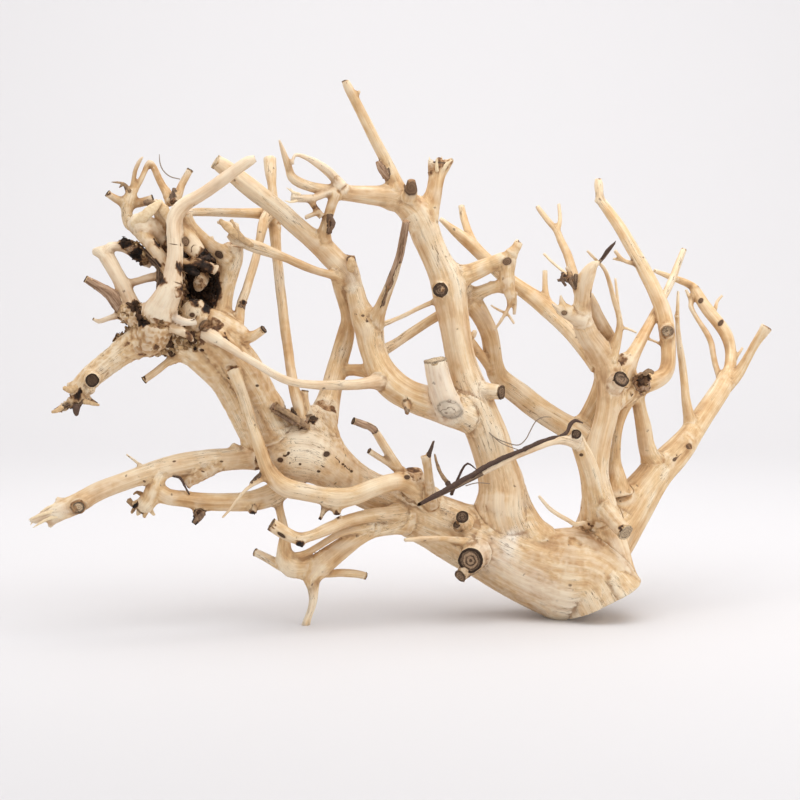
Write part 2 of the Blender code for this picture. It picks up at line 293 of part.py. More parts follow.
# The crown at the right: front limbs, the main limb, and the limbs that spread away at the back.
CROWN = {
    "main_right_limb": [
        (138, -96, 18, 34), (140, -82, 16, 28), (139, -66, 14, 21), (138, -51, 13, 16.3), (138.5, -38, 13, 16),
        (141, -25, 13, 16), (144.5, -12, 13, 16), (146, 0, 13, 16.2), (146, 12, 13, 17), (144.5, 22, 12, 17.2),
        (141.5, 30, 10, 17), (136.5, 38, 6, 16.5), (131.5, 45, 2, 15.5), (128.5, 52, -1, 14.3),
        (127.2, 60, -4, 13),
        (127.5, 68, -7, 11.6), (128.5, 76, -10, 11.6), (129.5, 83, -12, 12), (132, 89, -14, 10.4),
        (135.5, 94.3, -16, 6.4), (139.2, 96.3, -17, 3)],
    "front_right_limb": [
        (139, -88, 6, 26), (137, -74, -6, 19), (134.7, -61, -15, 16), (132.5, -50.5, -22, 14.6),
        (129.5, -41, -27, 13.2), (125.7, -32, -31, 11.2), (122.3, -24.5, -34, 8.6)],
    "front_knot": [(123.5, -26, -34, 8.4), (123.5, -24, -42, 6.8)],
    "right_stub": [(140, -72, -8, 14), (146.5, -80, -15, 12.3), (152, -86.5, -20, 11.7),
        (157.5, -92.5, -25, 11.4)],
    "dark_stick": [
        (124, -31, -36, 8), (118, -28.6, -40, 6.8), (110, -28, -44, 6.2), (100, -31.3, -50, 5.2),
        (90, -35.5, -54, 4.6),
        (80, -40, -59, 4.2), (65, -47.5, -66, 4), (50, -55, -72, 3.8), (36, -62, -78, 3.5), (24, -68, -84, 3),
        (12, -74, -88, 1.6)],
    "back_right_strand": [
        (153, -66, 30, 19), (150.5, -50, 30, 12.5), (150.5, -40, 30, 8), (151.5, -30, 30, 6.5),
        (152.7, -20, 30, 6.6),
        (155.2, -10, 30, 7.6), (159, -1, 30, 10), (163, 8, 30, 13)],
    "second_strand": [
        (180, -48, 58, 17), (174.3, -38, 52, 13), (171.9, -30, 48, 11.2), (170.6, -20, 44, 10.8),
        (168.7, -10, 40, 10), (166.5, 0, 36, 9.8), (163.5, 8, 32, 12), (158, 16, 27, 15), (152, 25, 22, 16)],
    "big_bow": [
        (150, 0, 20, 16), (160, 7.5, 26, 15.5), (169, 10.7, 32, 14), (177, 13, 38, 12.8), (184, 16.7, 44, 11.2),
        (187.3, 23.5, 49, 10.3), (187.8, 32, 52, 10.3), (187.4, 42, 55, 10.8), (186.5, 52, 58, 11.2),
        (184.5, 61, 61, 11.2), (181.3, 70, 64, 10.8), (177.3, 79, 67, 10.3), (172.6, 88, 70, 9.9),
        (168, 97, 73, 9.3), (162.6, 106.5, 76, 9), (157, 116, 79, 8.6), (151.2, 125, 82, 8),
        (145.6, 132.7, 85, 7.3),
        (140.6, 139.5, 87, 6.4), (139.6, 145, 88, 5.6), (139, 150, 89, 6.4),
        (138.7, 154.5, 90, 4.8)],
    "big_bow_nub": [(140, 138.6, 87, 4.4), (136.3, 139.7, 87, 2)],
    "big_bow_knot": [(187, 48, 56, 10.5), (187, 48, 49, 9)],
    "bark_knob": [(169, 9, 26, 11), (169.5, 13.5, 18, 11), (170, 15.5, 13, 9)],
    "low_knob": [(160, 2, 28, 7), (160.5, 4.5, 19, 5)],
    "limb_end_knob": [(150, 10, 8, 13), (154.5, 14.3, 0, 11)],
    "bow_twig": [(167, 95, 74, 4), (158, 97, 72, 3), (153.5, 100.5, 70, 2.8), (150.5, 104.5, 68, 2.6)],
    "bow_twig_low": [(161, 96.4, 73, 2), (149, 99, 70, 1.5)],
    "hidden_prop": [(122, -24, 38, 14), (131, -13, 42, 13), (137.5, 0, 40, 13), (142, 13, 30, 13),
        (143, 24, 18, 12)],
    "third_limb": [
        (151, 12, 18, 16), (155, 19, 21, 15.5), (159.5, 26, 25, 13.3), (164.3, 34, 32, 9.6), (169, 42.5, 44, 8.2),
        (173.5, 51, 56, 7.2), (178, 60, 70, 6.4), (183, 69.5, 82, 5.8), (187.5, 78, 92, 5.4),
        (191.3, 86, 100, 5.2),
        (194.5, 95, 108, 4.8), (198.6, 105, 116, 4.3)],
    "third_limb_twig": [(169, 43.7, 45, 2.4), (176, 42, 52, 1.7), (184, 38.3, 56, 1.6)],
    "right_edge_twig": [
        (146, 27, 10, 13), (149.3, 36, 8, 9.5), (152.3, 44, 5, 6.2), (153.9, 52, 3, 4.7), (153, 60, 1, 4.1),
        (150.8, 67, -1, 3.9), (148.5, 75, -3, 3.4), (146.4, 83, -5, 3.1), (144, 90, -7, 2.7),
        (140, 95.5, -9, 2.3),
        (136, 99.3, -11, 2.1), (131, 104.5, -13, 1.9)],
    "parallel_twig": [(153, 59, 1, 3), (152.3, 70, 2, 2.4), (151.5, 78, 3, 2), (150.7, 85.3, 4, 1.5)],
    "stray_twig": [(152.5, 51, 3, 2.4), (159, 50, 3, 1.8), (165.8, 47, 3, 1.5)],
    "black_tip": [(138.5, 95.5, -13, 2.6), (142.5, 100, -14, 2.7), (145.5, 104.3, -16, 3.1),
        (150.7, 110, -18, 1)],
    "black_stub": [
        (149, 38, 14, 9), (146, 45.5, 12, 8.6), (141.2, 53, 9, 9.4), (137.8, 60, 6, 8.6), (135.6, 67, 4, 6.6),
        (133.6, 75, 3, 2.4)],
    "broken_stub": [(128, 56, -4, 14), (120, 59.5, -8, 9.5), (113.5, 61.7, -10, 6), (106.3, 67.3, -12, 1.4)],
    "broken_stub_top": [(119, 62, -9, 9), (114, 66.5, -10, 5.4), (112.4, 73.5, -11, 1.1)],
    "left_bark_tips": [(126, 79, -10, 8), (120, 83, -13, 4.6), (115, 86, -14, 4), (113.8, 89.4, -14, 2.6)],
    "left_bark_low": [(117, 84.5, -13, 3.8), (110, 83.7, -15, 2)],
    "left_bark_up": [(121, 82, -12, 5), (119, 88.5, -10, 3.7), (116.8, 93, -9, 2.6)],
    "left_bark_peg": [(122, 80, -13, 4), (123.2, 88.3, -15, 2.6)],
    "left_thin_twig": [(119, 86, -9, 3), (113, 91, 0, 2.2), (107, 96, 8, 2), (100.6, 102.4, 16, 1.9)],
    "back_left_limb": [
        (28, 127, 67, 3), (35, 121, 68, 5.2), (42, 115.3, 69, 7.7), (50, 108.5, 70, 9), (57, 101.5, 70, 9),
        (66, 93, 71, 9.5), (75, 85, 72, 10), (83, 79.3, 71, 10), (90, 74.3, 68, 11), (97, 69.3, 62, 12.4),
        (104, 63.3, 56, 13), (111, 57, 48, 13), (118, 50, 38, 12.6), (125, 42.5, 28, 12.8), (132, 34, 20, 13.5),
        (140, 24, 14, 15)],
    "back_left_twig": [(51, 110, 70, 6.5), (47, 120, 76, 5.4), (44.5, 128, 82, 5.1), (43, 135.6, 87, 4.6)],
    "back_middle_twig": [(104, 64, 56, 8), (102, 74, 60, 4.8), (101.5, 82, 62, 3.8), (101.5, 90.6, 64, 3.5)],
    "far_twig": [
        (127, 72, -4, 9), (121.3, 88, 6, 6.8), (117.5, 101, 16, 6), (113, 111, 26, 5.4), (109, 119.5, 34, 4.8),
        (105, 124, 38, 4.2), (100.5, 129.5, 43, 3.9), (96.3, 135.2, 48, 3.3)],
    "far_twig_fork": [(110, 117.5, 32, 4), (112, 126, 37, 2.9), (111.2, 137, 43, 2.3)],
    "far_right_limb": [
        (134, -112, 22, 40), (146, -97, 30, 36), (157, -82, 38, 31), (168, -65.5, 48, 27.5),
        (180, -50.5, 60, 23.5),
        (190, -40, 72, 20.5), (199, -29.7, 84, 17.8), (206.5, -19.3, 95, 15.8), (213.5, -9.3, 106, 14.6),
        (220.5, 1, 117, 13.9), (226.5, 10.5, 127, 12.8), (230.5, 20, 136, 9.8), (231.5, 29, 144, 8),
        (231, 37.5, 150, 8), (228.5, 45.5, 154, 8.7), (223.5, 53, 158, 8.7), (217.5, 60.5, 162, 8.5),
        (212, 68, 166, 8.1), (208, 75, 170, 7), (204, 80, 173, 5.6), (197, 83.4, 172, 4.9), (188, 86.6, 168, 4.1),
        (178, 90.6, 162, 2.7)],
    "far_right_knot": [(200, -30, 78, 12), (202.5, -32, 72, 4.6)],
    "end_branch": [
        (226, 8, 126, 11), (235, 16.5, 130, 8.7), (241, 25.5, 130, 6.8), (246, 34.5, 128, 6),
        (250.5, 42, 126, 6.2),
        (254.3, 47.3, 124, 7.6), (256.7, 51, 123, 8.4)],
    "inner_branch": [
        (223, 6, 124, 8), (223.6, 15, 132, 4.9), (221, 24, 140, 4.2), (219.3, 32, 146, 4), (217.8, 40, 152, 4.2),
        (214.5, 47, 156, 4), (210, 54, 160, 3.4), (206, 60.5, 164, 3.2), (203.6, 66, 167, 3.6),
        (204.8, 72, 170, 4.2),
        (207.5, 77.5, 171, 5)],
    "inner_flake": [(203.6, 70, 170, 3), (200, 77.5, 170, 2)],
    "slender_limb": [
        (205, -22, 90, 11), (202, -10, 92, 8), (200.2, 0, 94, 6.4), (199.3, 9, 96, 5.6), (198.3, 19, 98, 5.3),
        (197.3, 28, 98, 5.1), (195.8, 37, 96, 4.6), (194.8, 46, 94, 3.6), (194.2, 55, 92, 3),
        (194.3, 62, 91, 2.8),
        (194.7, 76.3, 90, 1.8)],
    "slender_nub": [(194.3, 57, 92, 3.4), (193.2, 59.5, 90, 3)],
    "tip_twig": [(218.5, 59, 163, 4.4), (221, 65, 166, 2.8), (222, 69, 168, 2.2), (225.7, 73.2, 170, 1.8)],
    "end_twig": [(233.5, 27, 145, 3.6), (236.5, 31.5, 146, 2.3), (240, 36.7, 147, 1.8)],
    "round_nub": [(195.5, 84.5, 166, 3.8), (199.2, 88, 156, 4.4)],
}

# Low stubs and twigs about the trunk, and the two root tips that it stands on.
LOW = {
    "front_foot_branch": [
        (8, -80, -2, 26), (-6, -86, -10, 17), (-19, -90.3, -17, 12.8), (-30, -96, -22, 13), (-40, -103, -24, 14),
        (-50, -110.5, -24, 15.5), (-58, -117.5, -24, 17), (-61.5, -125, -24, 12.4), (-60.8, -132, -24, 8.2),
        (-60.8, -140, -25, 6), (-62.3, -147, -25, 5.1), (-64.5, -152.7, -25, 5), (-66.4, -158.8, -25, 6)],
    "front_foot_hub": [
        (-54, -113, -24, 14), (-66, -117, -24, 13.5), (-75.5, -116.5, -24, 15.5), (-80, -111, -24, 13),
        (-81, -104, -24, 9.8), (-80.7, -96, -24, 7.3), (-81.7, -88, -24, 6.2), (-84, -78, -23, 5.8),
        (-86, -70, -22, 7), (-87.5, -62, -22, 9)],
    "front_foot_left": [(-78, -116, -24, 12), (-86, -114.3, -20, 7.2), (-93, -110.6, -16, 5.9),
                        (-100.7, -106.9, -12, 5.4)],
    "front_foot_second": [(-20, -88, -22, 10), (-32, -90.3, -28, 6.4), (-42, -93.4, -30, 5.1),
        (-50, -97.9, -30, 4.8),
                          (-58, -102.9, -29, 4.8), (-66, -107.5, -27, 5), (-75, -110.5, -25, 7)],
    "front_foot_right": [(-58, -119, -23, 9), (-50, -121.3, -18, 6), (-40, -121, -13, 5.7),
        (-31, -121.7, -8, 5.7),
                         (-24.7, -123, -5, 5.1)],
    "rear_foot_branch": [
        (112, -112, 20, 30), (106, -114.5, 43, 20), (102, -117.5, 65, 15.5), (99, -120.5, 85, 12.5),
        (97, -123.8, 103, 10.5), (95.8, -127, 117, 9), (95, -131.3, 130, 7.6)],
    "rear_foot_spur": [(101, -117, 69, 9), (110, -118, 83, 6), (118, -116.5, 93, 4.5), (125, -113, 101, 3)],
    "rear_foot_fork": [(98, -121, 91, 7), (90, -120, 103, 5.2), (82, -121, 111, 4), (76, -123.5, 117, 3)],
    "light_twig": [(6, -62, -14, 9), (-2, -47, -25, 6.9), (-10, -34, -34, 6.1), (-18.5, -20.5, -40, 5.3),
                   (-25, -17.5, -43, 5.4), (-32.3, -14.8, -46, 5)],
    "light_twig_fork": [(1, -51, -23, 6), (-8, -44.3, -30, 4.3), (-15, -40, -33, 4.1), (-21.3, -35.8, -36, 4)],
    "lump": [(11, -64, -9, 20), (8, -52.5, -19, 16.5)],
    "upright_twig": [(22, -74, -12, 10), (21, -60, -26, 6.7), (19.5, -48, -30, 6.2), (18, -39, -32, 7.4)],
    "upright_twig_tip": [(19.3, -41, -32, 3.4), (21.5, -35, -33, 2.8), (23.6, -28.7, -35, 1.6)],
    "brown_sprig": [(34, -68, -14, 6), (30, -54, -26, 3), (26.3, -46, -29, 2.7), (24.9, -37.7, -31, 2.2)],
    "brown_sprig_fork": [(29.3, -52.5, -26, 2.6), (31.2, -46.7, -30, 2)],
    "hair_sprig": [(36, -66, -16, 3.6), (41, -52, -29, 2.3), (46, -45, -34, 1.7)],
    "flat_twig": [(50, -100, -12, 8), (38, -98, -25, 4.7), (28, -97.2, -30, 4.2), (18, -97, -35, 3.8),
                  (10, -97.5, -38, 3.4), (3, -98, -40, 2.4)],
    "ringed_stub": [(58, -103, 0, 22), (51.5, -109, -19, 17.8), (49.5, -112, -30, 17)],
    "small_stub": [(52, -114, -13, 13), (45, -120.5, -25, 9.6), (42.5, -122.8, -28, 8.6)],
    "dark_oval": [(46, -88, -6, 13), (43.7, -82, -21, 8.4)],
    "dark_oval_nub": [(42, -90, -11, 8), (39.8, -87.3, -20, 4.6)],
    "curved_twig": [
        (134, -90, 2, 8), (128, -86.3, -14, 3.6), (123, -87.2, -20, 3.3), (118, -84.3, -24, 3.2),
        (112, -81, -28, 3.1),
        (106, -77, -32, 3), (102, -73, -35, 2.7), (97, -67, -38, 1.9)],
    "front_thin_twig": [
        (-88, -52, -43, 9), (-95, -55, -47, 3.8), (-101, -58.3, -49, 2.8), (-107, -62, -51, 2.4),
        (-113, -68.5, -53, 2.1), (-119, -76.5, -55, 1.9), (-124.5, -82.5, -57, 1.5)],
    "front_bark_sliver": [(-97, -52.5, -46, 4.4), (-101, -55, -48, 3.2), (-105, -58.7, -49, 1.6)],
}

REGIONS = (BODY, HEAD, RODS, CENTRE, CROWN, LOW)


def placed(across, up, depth, thickness):
    """The true place in metres, and the radius, of one point of a route."""
    depth = depth - FOOT[2]
    grow = (VIEW_DISTANCE + depth) / VIEW_DISTANCE
    tilt_sin = math.sin(VIEW_TILT)
    tilt_cos = math.cos(VIEW_TILT)
    rise = up * grow - FOOT[1]
    x = across * grow - FOOT[0]
    y = rise * tilt_sin + depth * tilt_cos
    z = rise * tilt_cos - depth * tilt_sin
    place = np.array([x, y, z]) * 0.001
    return place, max(thickness, THINNEST) * grow * 0.0005


def smooth_route(points, step=3.0):
    """A Catmull-Rom curve through the route's points, sampled every few millimetres."""
    knots = np.array(points, dtype=float)
    before = 2 * knots[0] - knots[1]
    after = 2 * knots[-1] - knots[-2]
    knots = np.vstack([before, knots, after])
    rows = []
    for i in range(1, len(knots) - 2):
        p0, p1, p2, p3 = knots[i - 1:i + 3]
        count = max(2, int(np.linalg.norm((p2 - p1)[:3]) / step))
        t = (np.arange(count) / count)[:, None]
        rows.append(0.5 * (2 * p1 + (p2 - p0) * t + (2 * p0 - 5 * p1 + 4 * p2 - p3) * t ** 2
                           + (3 * p1 - p0 - 3 * p2 + p3) * t ** 3))
    rows.append(knots[-2:-1])
    return np.vstack(rows)


def branch_curve(name, points, collection):
    """One branch as a bevelled curve with closed ends, whose radius follows the route."""
    data = bpy.data.curves.new(name, "CURVE")
    data.dimensions = "3D"
    data.bevel_depth = 1.0
    data.bevel_resolution = 4
    data.use_fill_caps = True
    route = smooth_route(points)
    spline = data.splines.new("POLY")
    spline.points.add(len(route) - 1)
    for point, row in zip(spline.points, route):
        place, radius = placed(*row)
        point.co = (*place, 1.0)
        point.radius = radius
    branch = bpy.data.objects.new(name, data)
    collection.objects.link(branch)
    return branch


def grown_together(branches, name, collection):
    """One closed skin round all the branches, where they run into each other as wood does."""
    joined = bmesh.new()
    graph = bpy.context.evaluated_depsgraph_get()
    for branch in branches:
        piece = bpy.data.meshes.new_from_object(branch.evaluated_get(graph))
        joined.from_mesh(piece)
        bpy.data.meshes.remove(piece)
        curve = branch.data
        bpy.data.objects.remove(branch)
        bpy.data.curves.remove(curve)
    bmesh.ops.remove_doubles(joined, verts=joined.verts, dist=1e-6)
    mesh = bpy.data.meshes.new(name)
    joined.to_mesh(mesh)
    joined.free()
    root = bpy.data.objects.new(name, mesh)
    collection.objects.link(root)
    remesh = root.modifiers.new("Grown together", "REMESH")
    remesh.mode = "VOXEL"
    remesh.voxel_size = VOXEL
    soften = root.modifiers.new("Soften", "SMOOTH")
    soften.factor = 0.5
    soften.iterations = SMOOTH_STEPS
    return root


def settled(root):
    """Puts the modifiers into the mesh, so that the next step can work on its faces."""
    bpy.context.view_layer.update()
    graph = bpy.context.evaluated_depsgraph_get()
    mesh = bpy.data.meshes.new_from_object(root.evaluated_get(graph))
    root.modifiers.clear()
    spent = root.data
    root.data = mesh
    bpy.data.meshes.remove(spent)


def keep_outer_skin(root):
    """Leaves only the largest connected skin, so that pockets shut inside the wood are filled."""
    skin = bmesh.new()
    skin.from_mesh(root.data)
    unseen = set(skin.verts)
    groups = []
    while unseen:
        front = [unseen.pop()]
        group = []
        while front:
            vert = front.pop()
            group.append(vert)
            for edge in vert.link_edges:
                other = edge.other_vert(vert)
                if other in unseen:
                    unseen.remove(other)
                    front.append(other)
        groups.append(group)
    groups.sort(key=len)
    for group in groups[:-1]:
        bmesh.ops.delete(skin, geom=group, context="VERTS")
    skin.to_mesh(root.data)
    skin.free()


def cut_flat(root, point, normal):
    """Saws off what lies beyond a plane, and closes the cut with a flat face."""
    wood = bmesh.new()
    wood.from_mesh(root.data)
    everything = list(wood.verts) + list(wood.edges) + list(wood.faces)
    bmesh.ops.bisect_plane(
        wood, geom=everything, dist=1e-6, plane_co=point, plane_no=normal, clear_outer=True)
    rim = [edge for edge in wood.edges if edge.is_boundary]
    bmesh.ops.holes_fill(wood, edges=rim, sides=0)
    bmesh.ops.recalc_face_normals(wood, faces=wood.faces)
    wood.to_mesh(root.data)
    wood.free()


def driftwood_material():
    """Peeled root wood: pale cream to tan, dry and matt."""
    material = bpy.data.materials.new("peeled_root_wood")
    material.use_nodes = True
    shader = material.node_tree.nodes["Principled BSDF"]
    shader.inputs["Base Color"].default_value = (0.70, 0.52, 15, 1.0)
    shader.inputs["Roughness"].default_value = 0.75
    shader.inputs["Metallic"].default_value = 0.0
    return material


def main():
    for leftover in list(bpy.data.objects):
        bpy.data.objects.remove(leftover)
    collection = bpy.data.collections.new("Driftwood root")
    bpy.context.scene.collection.children.link(collection)
    branches = []
    for region in REGIONS:
        for name, points in region.items():
            branches.append(branch_curve(name, points, collection))
    bpy.context.view_layer.update()
    root = grown_together(branches, "driftwood_root", collection)
    settled(root)
    keep_outer_skin(root)
    quads = len(root.data.polygons)
    thin = root.modifiers.new("Fewer faces", "DECIMATE")
    thin.ratio = TRIANGLES / (2 * quads)
    thin.use_collapse_triangulate = True
    settled(root)
    saw_point = SAW_SET_OUT * np.array(SAW_NORMAL)
    cut_flat(root, saw_point, SAW_NORMAL)
    cut_flat(root, (0.0, 0.0, 0.0), (0.0, 0.0, -1.0))
    root.data.shade_smooth()
    root.data.set_sharp_from_angle(angle=math.radians(50))
    root.data.materials.clear()
    root.data.materials.append(driftwood_material())


main()
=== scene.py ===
"""A weathered driftwood root on a pale studio floor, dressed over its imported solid.

The root is peeled, sun-bleached root wood: a sawn butt, bent limbs, a gnarled head and many twigs.
Its limbs are routes of points (across, up, depth, thickness) in millimetres as seen from the front, and
every surface is worked out from them: a skin grown over all the limbs, then stub ends, bark, splinters and hairs.
"""

import math
from collections import namedtuple
from functools import partial

import bmesh
import bpy
import numpy as np
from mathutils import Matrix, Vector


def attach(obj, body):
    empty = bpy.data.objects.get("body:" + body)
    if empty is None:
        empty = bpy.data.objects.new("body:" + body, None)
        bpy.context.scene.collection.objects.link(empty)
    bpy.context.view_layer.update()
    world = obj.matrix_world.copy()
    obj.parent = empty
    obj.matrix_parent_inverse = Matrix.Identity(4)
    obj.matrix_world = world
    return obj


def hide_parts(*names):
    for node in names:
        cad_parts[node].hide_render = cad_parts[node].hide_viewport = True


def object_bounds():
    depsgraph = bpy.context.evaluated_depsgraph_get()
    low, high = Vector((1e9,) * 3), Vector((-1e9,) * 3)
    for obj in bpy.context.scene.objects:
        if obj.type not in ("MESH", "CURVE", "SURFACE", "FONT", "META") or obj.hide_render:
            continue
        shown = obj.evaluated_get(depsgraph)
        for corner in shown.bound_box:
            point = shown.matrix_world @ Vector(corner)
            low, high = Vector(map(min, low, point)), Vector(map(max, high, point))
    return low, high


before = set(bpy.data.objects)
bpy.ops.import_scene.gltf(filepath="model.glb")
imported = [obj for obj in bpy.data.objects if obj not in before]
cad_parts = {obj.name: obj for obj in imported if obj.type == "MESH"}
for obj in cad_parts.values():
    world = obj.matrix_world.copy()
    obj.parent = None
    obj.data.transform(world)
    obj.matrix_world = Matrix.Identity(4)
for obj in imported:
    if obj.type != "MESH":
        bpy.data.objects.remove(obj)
cad_box = [list(corner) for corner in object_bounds()]

# Shapes are worked out in millimetres, and the scene is in metres.
MM = 0.001
METRE = 1000

# The viewer's eye: how far off it is, how far down it looks, and the point of the routes that comes to the origin.
VIEW_DISTANCE = 1400.0
VIEW_TILT = math.radians(5.0)
FOOT = (112.0, -151.5, 5.0)

# The saw cut through the butt: the way it faces, and how far out from the origin it lies.
SAW_NORMAL = np.array([0.437, 0.0, -0.8995])
SAW_SET_OUT = 0.8

# The skin: the cell that it is grown on, in metres, its triangles, the thinnest twig, how far under the floor it
# reaches before it is cut, and how far inside the solid's box every piece stays.
SKIN_VOXEL = 0.00095
SKIN_TRIANGLES = 190000
THINNEST = 2.2
SKIN_BOTTOM = -9.0
BOX_MARGIN = 0.01

# Tubes of limbs thinner than the twig's radius need fewer sides.
TWIG_RADIUS, TWIG_SIDES, LIMB_SIDES = 6, 12, 28

# The wood's relief. Lumps and flutes: repeats in a radius of the limb, across and along, and the share of the radius
# that they stand out by. Fibres: width, length and height. Flutes and fibres twist by so many radians in a radius of
# length, and each limb's noise is shifted from the last one's.
LUMPS = (0.9, 0.36, 0.055)
FLUTES = (2.1, 0.16, 0.045)
FIBRES = (1.7, 26, 0.13)
TWIST = 0.05
LIMB_SHIFT = 7.31

# How many crumbs of bark and rotten wood lie on the skin.
FLAKES = 2400

# The butt, the limbs that leave it and the knotted middle.
BODY = {
    "trunk": [(152, -162, 1, 58), (140, -138, 1, 59), (130, -125, 2, 62), (114, -121.7, 3, 63.6),
     (98, -118, 4, 55.5), (80, -111, 6, 50), (62, -102, 8, 46), (45, -94, 7, 43), (28, -86, 5, 39), (12, -79, 3, 35),
     (-3, -70, 1, 32), (-18, -64.5, -2, 28), (-34, -57, -8, 29), (-48, -47, -14, 34), (-62, -38, -18, 43),
     (-78, -36, -21, 42), (-92, -38, -24, 28)],
    "trunk_sweep": [(77, -62, 6, 22), (84, -78, 5, 20), (93, -95, 0, 24), (106, -107, -4, 30), (122, -113, -7, 36),
     (137, -124, -8, 39), (151, -138, -8, 38), (161, -152, -8, 38)],
    "trunk_hump": [(139, -80, 12, 24), (142, -92, 4, 27), (146.5, -105, 0, 27), (150.5, -118, 0, 26),
     (155.5, -132, 0, 26), (161, -146, 0, 26)],
    "hub_top": [(-58, -40, -16, 36), (-60, -26, -16, 34), (-63, -14, -18, 24), (-64, -6, -19, 12)],
    "hub_crown": [(-80, -34, -20, 34), (-84, -22, -22, 28), (-86, -10, -26, 22)],
    "hub_right": [(-40, -52, -11, 26), (-50, -36, -14, 24), (-53, -22, -15, 20), (-54, -10, -13, 18)],
    "left_arm": [(-88, -37, -22, 26), (-100, -38, -25, 20), (-110, -40, -28, 17.5), (-120, -41.3, -32, 15.8),
     (-135, -42.3, -37, 15.5), (-150, -44.5, -42, 15.5), (-160, -46.5, -46, 15), (-172, -49.5, -50, 14.5),
     (-185, -54, -55, 13.3), (-200, -59.5, -60, 13), (-213, -65, -64, 13.3), (-224, -71, -67, 14),
     (-234, -76, -70, 14), (-243, -79.5, -72, 11.5), (-251, -82, -73, 7), (-259.5, -84.5, -75, 2)],
    "left_arm_lower_splinter": [(-236, -79, -71, 9), (-243, -85, -72, 5.5), (-245.5, -89, -72, 2.5)],
    "left_arm_end_splinter": [(-246, -82, -73, 5), (-256, -86, -75, 2.2)],
    "left_arm_knot": [(-225, -73, -68, 12), (-225, -75, -75, 10)],
    "left_arm_end_knob": [(-236, -73, -70, 8), (-240.5, -68.5, -70, 2.6)],
    "left_arm_knob": [(-115, -35, -30, 7), (-117, -30.5, -31, 3)],
    "left_arm_twig": [(-177, -48, -52, 3), (-183, -44.5, -55, 2), (-191.5, -38, -57, 1.4)],
    "torn_web": [(-128, -44, -36, 13), (-140, -51, -40, 12), (-150, -58.5, -42, 8)],
    "torn_web_edge": [(-136, -46, -39, 12), (-148, -51, -40, 9), (-155, -54.5, -41, 4)],
    "arm_link": [(-168, -50, -50, 11), (-171, -57, -51, 11.5), (-172.5, -63, -51, 12), (-175, -69, -50, 12),
     (-178.5, -73, -49, 13), (-181, -75.5, -48, 9.5)],
    "arm_link_burr": [(-180, -74, -50, 7), (-184.5, -74.5, -50, 4), (-187.3, -74.7, -50, 1.6)],
    "lower_left_limb": [(-172, -62, -51, 11), (-163, -67.5, -49, 11.5), (-152, -69.3, -44, 11.3),
     (-140, -71, -40, 12), (-125, -71.5, -36, 12), (-110, -71, -32, 13.5), (-97, -69, -28, 15), (-86, -64, -22, 16),
     (-76, -54, -18, 18)],
    "lower_limb_knob": [(-140, -73, -40, 8), (-140.5, -79, -40, 8.5), (-142, -83, -40, 5.8), (-144, -86, -39, 4)],
    "lower_limb_nub": [(-103, -74, -34, 7), (-103, -79, -36, 5.5)],
    "front_curved_limb": [(20, -70, -6, 20), (12, -63, -15, 15), (2, -57.5, -25, 12.3), (-8, -58, -34, 12),
     (-20, -62, -40, 12.8), (-33, -67, -42, 13.3), (-45, -68.5, -43, 14.5), (-57, -66.5, -44, 12.3),
     (-69, -64, -45, 12.3), (-79, -61.5, -45, 13.5), (-87, -56.5, -45, 12.5), (-93, -48, -46, 10),
     (-97, -37, -48, 9.3), (-101, -25, -51, 8.5), (-105, -13, -53, 8), (-109, 0, -57, 8), (-113, 11, -59, 8.2),
     (-117, 21, -59, 9)],
    "under_limb_nub": [(-47, -70, -40, 12), (-52, -75, -41, 6.5), (-54, -79, -43, 3.4), (-56.3, -84, -44, 2.2)],
    "under_limb_peg": [(-45, -71, -40, 10), (-44, -80, -43, 5)],
    "front_stub": [(24, -84, 14, 16), (12, -80.5, 0, 14), (0, -79, -13, 11.5), (-10, -80, -22, 10.2),
     (-20, -80.7, -29, 9.3), (-35, -84, -38, 9), (-50, -90, -46, 8.6), (-61, -94.6, -50, 7.6),
     (-71, -96.8, -53, 8.4), (-79, -94, -54, 9.4), (-89.5, -87.5, -55, 9.4)],
    "front_stub_nub": [(-68, -98, -53, 5.5), (-70.3, -102, -54, 5)],
}

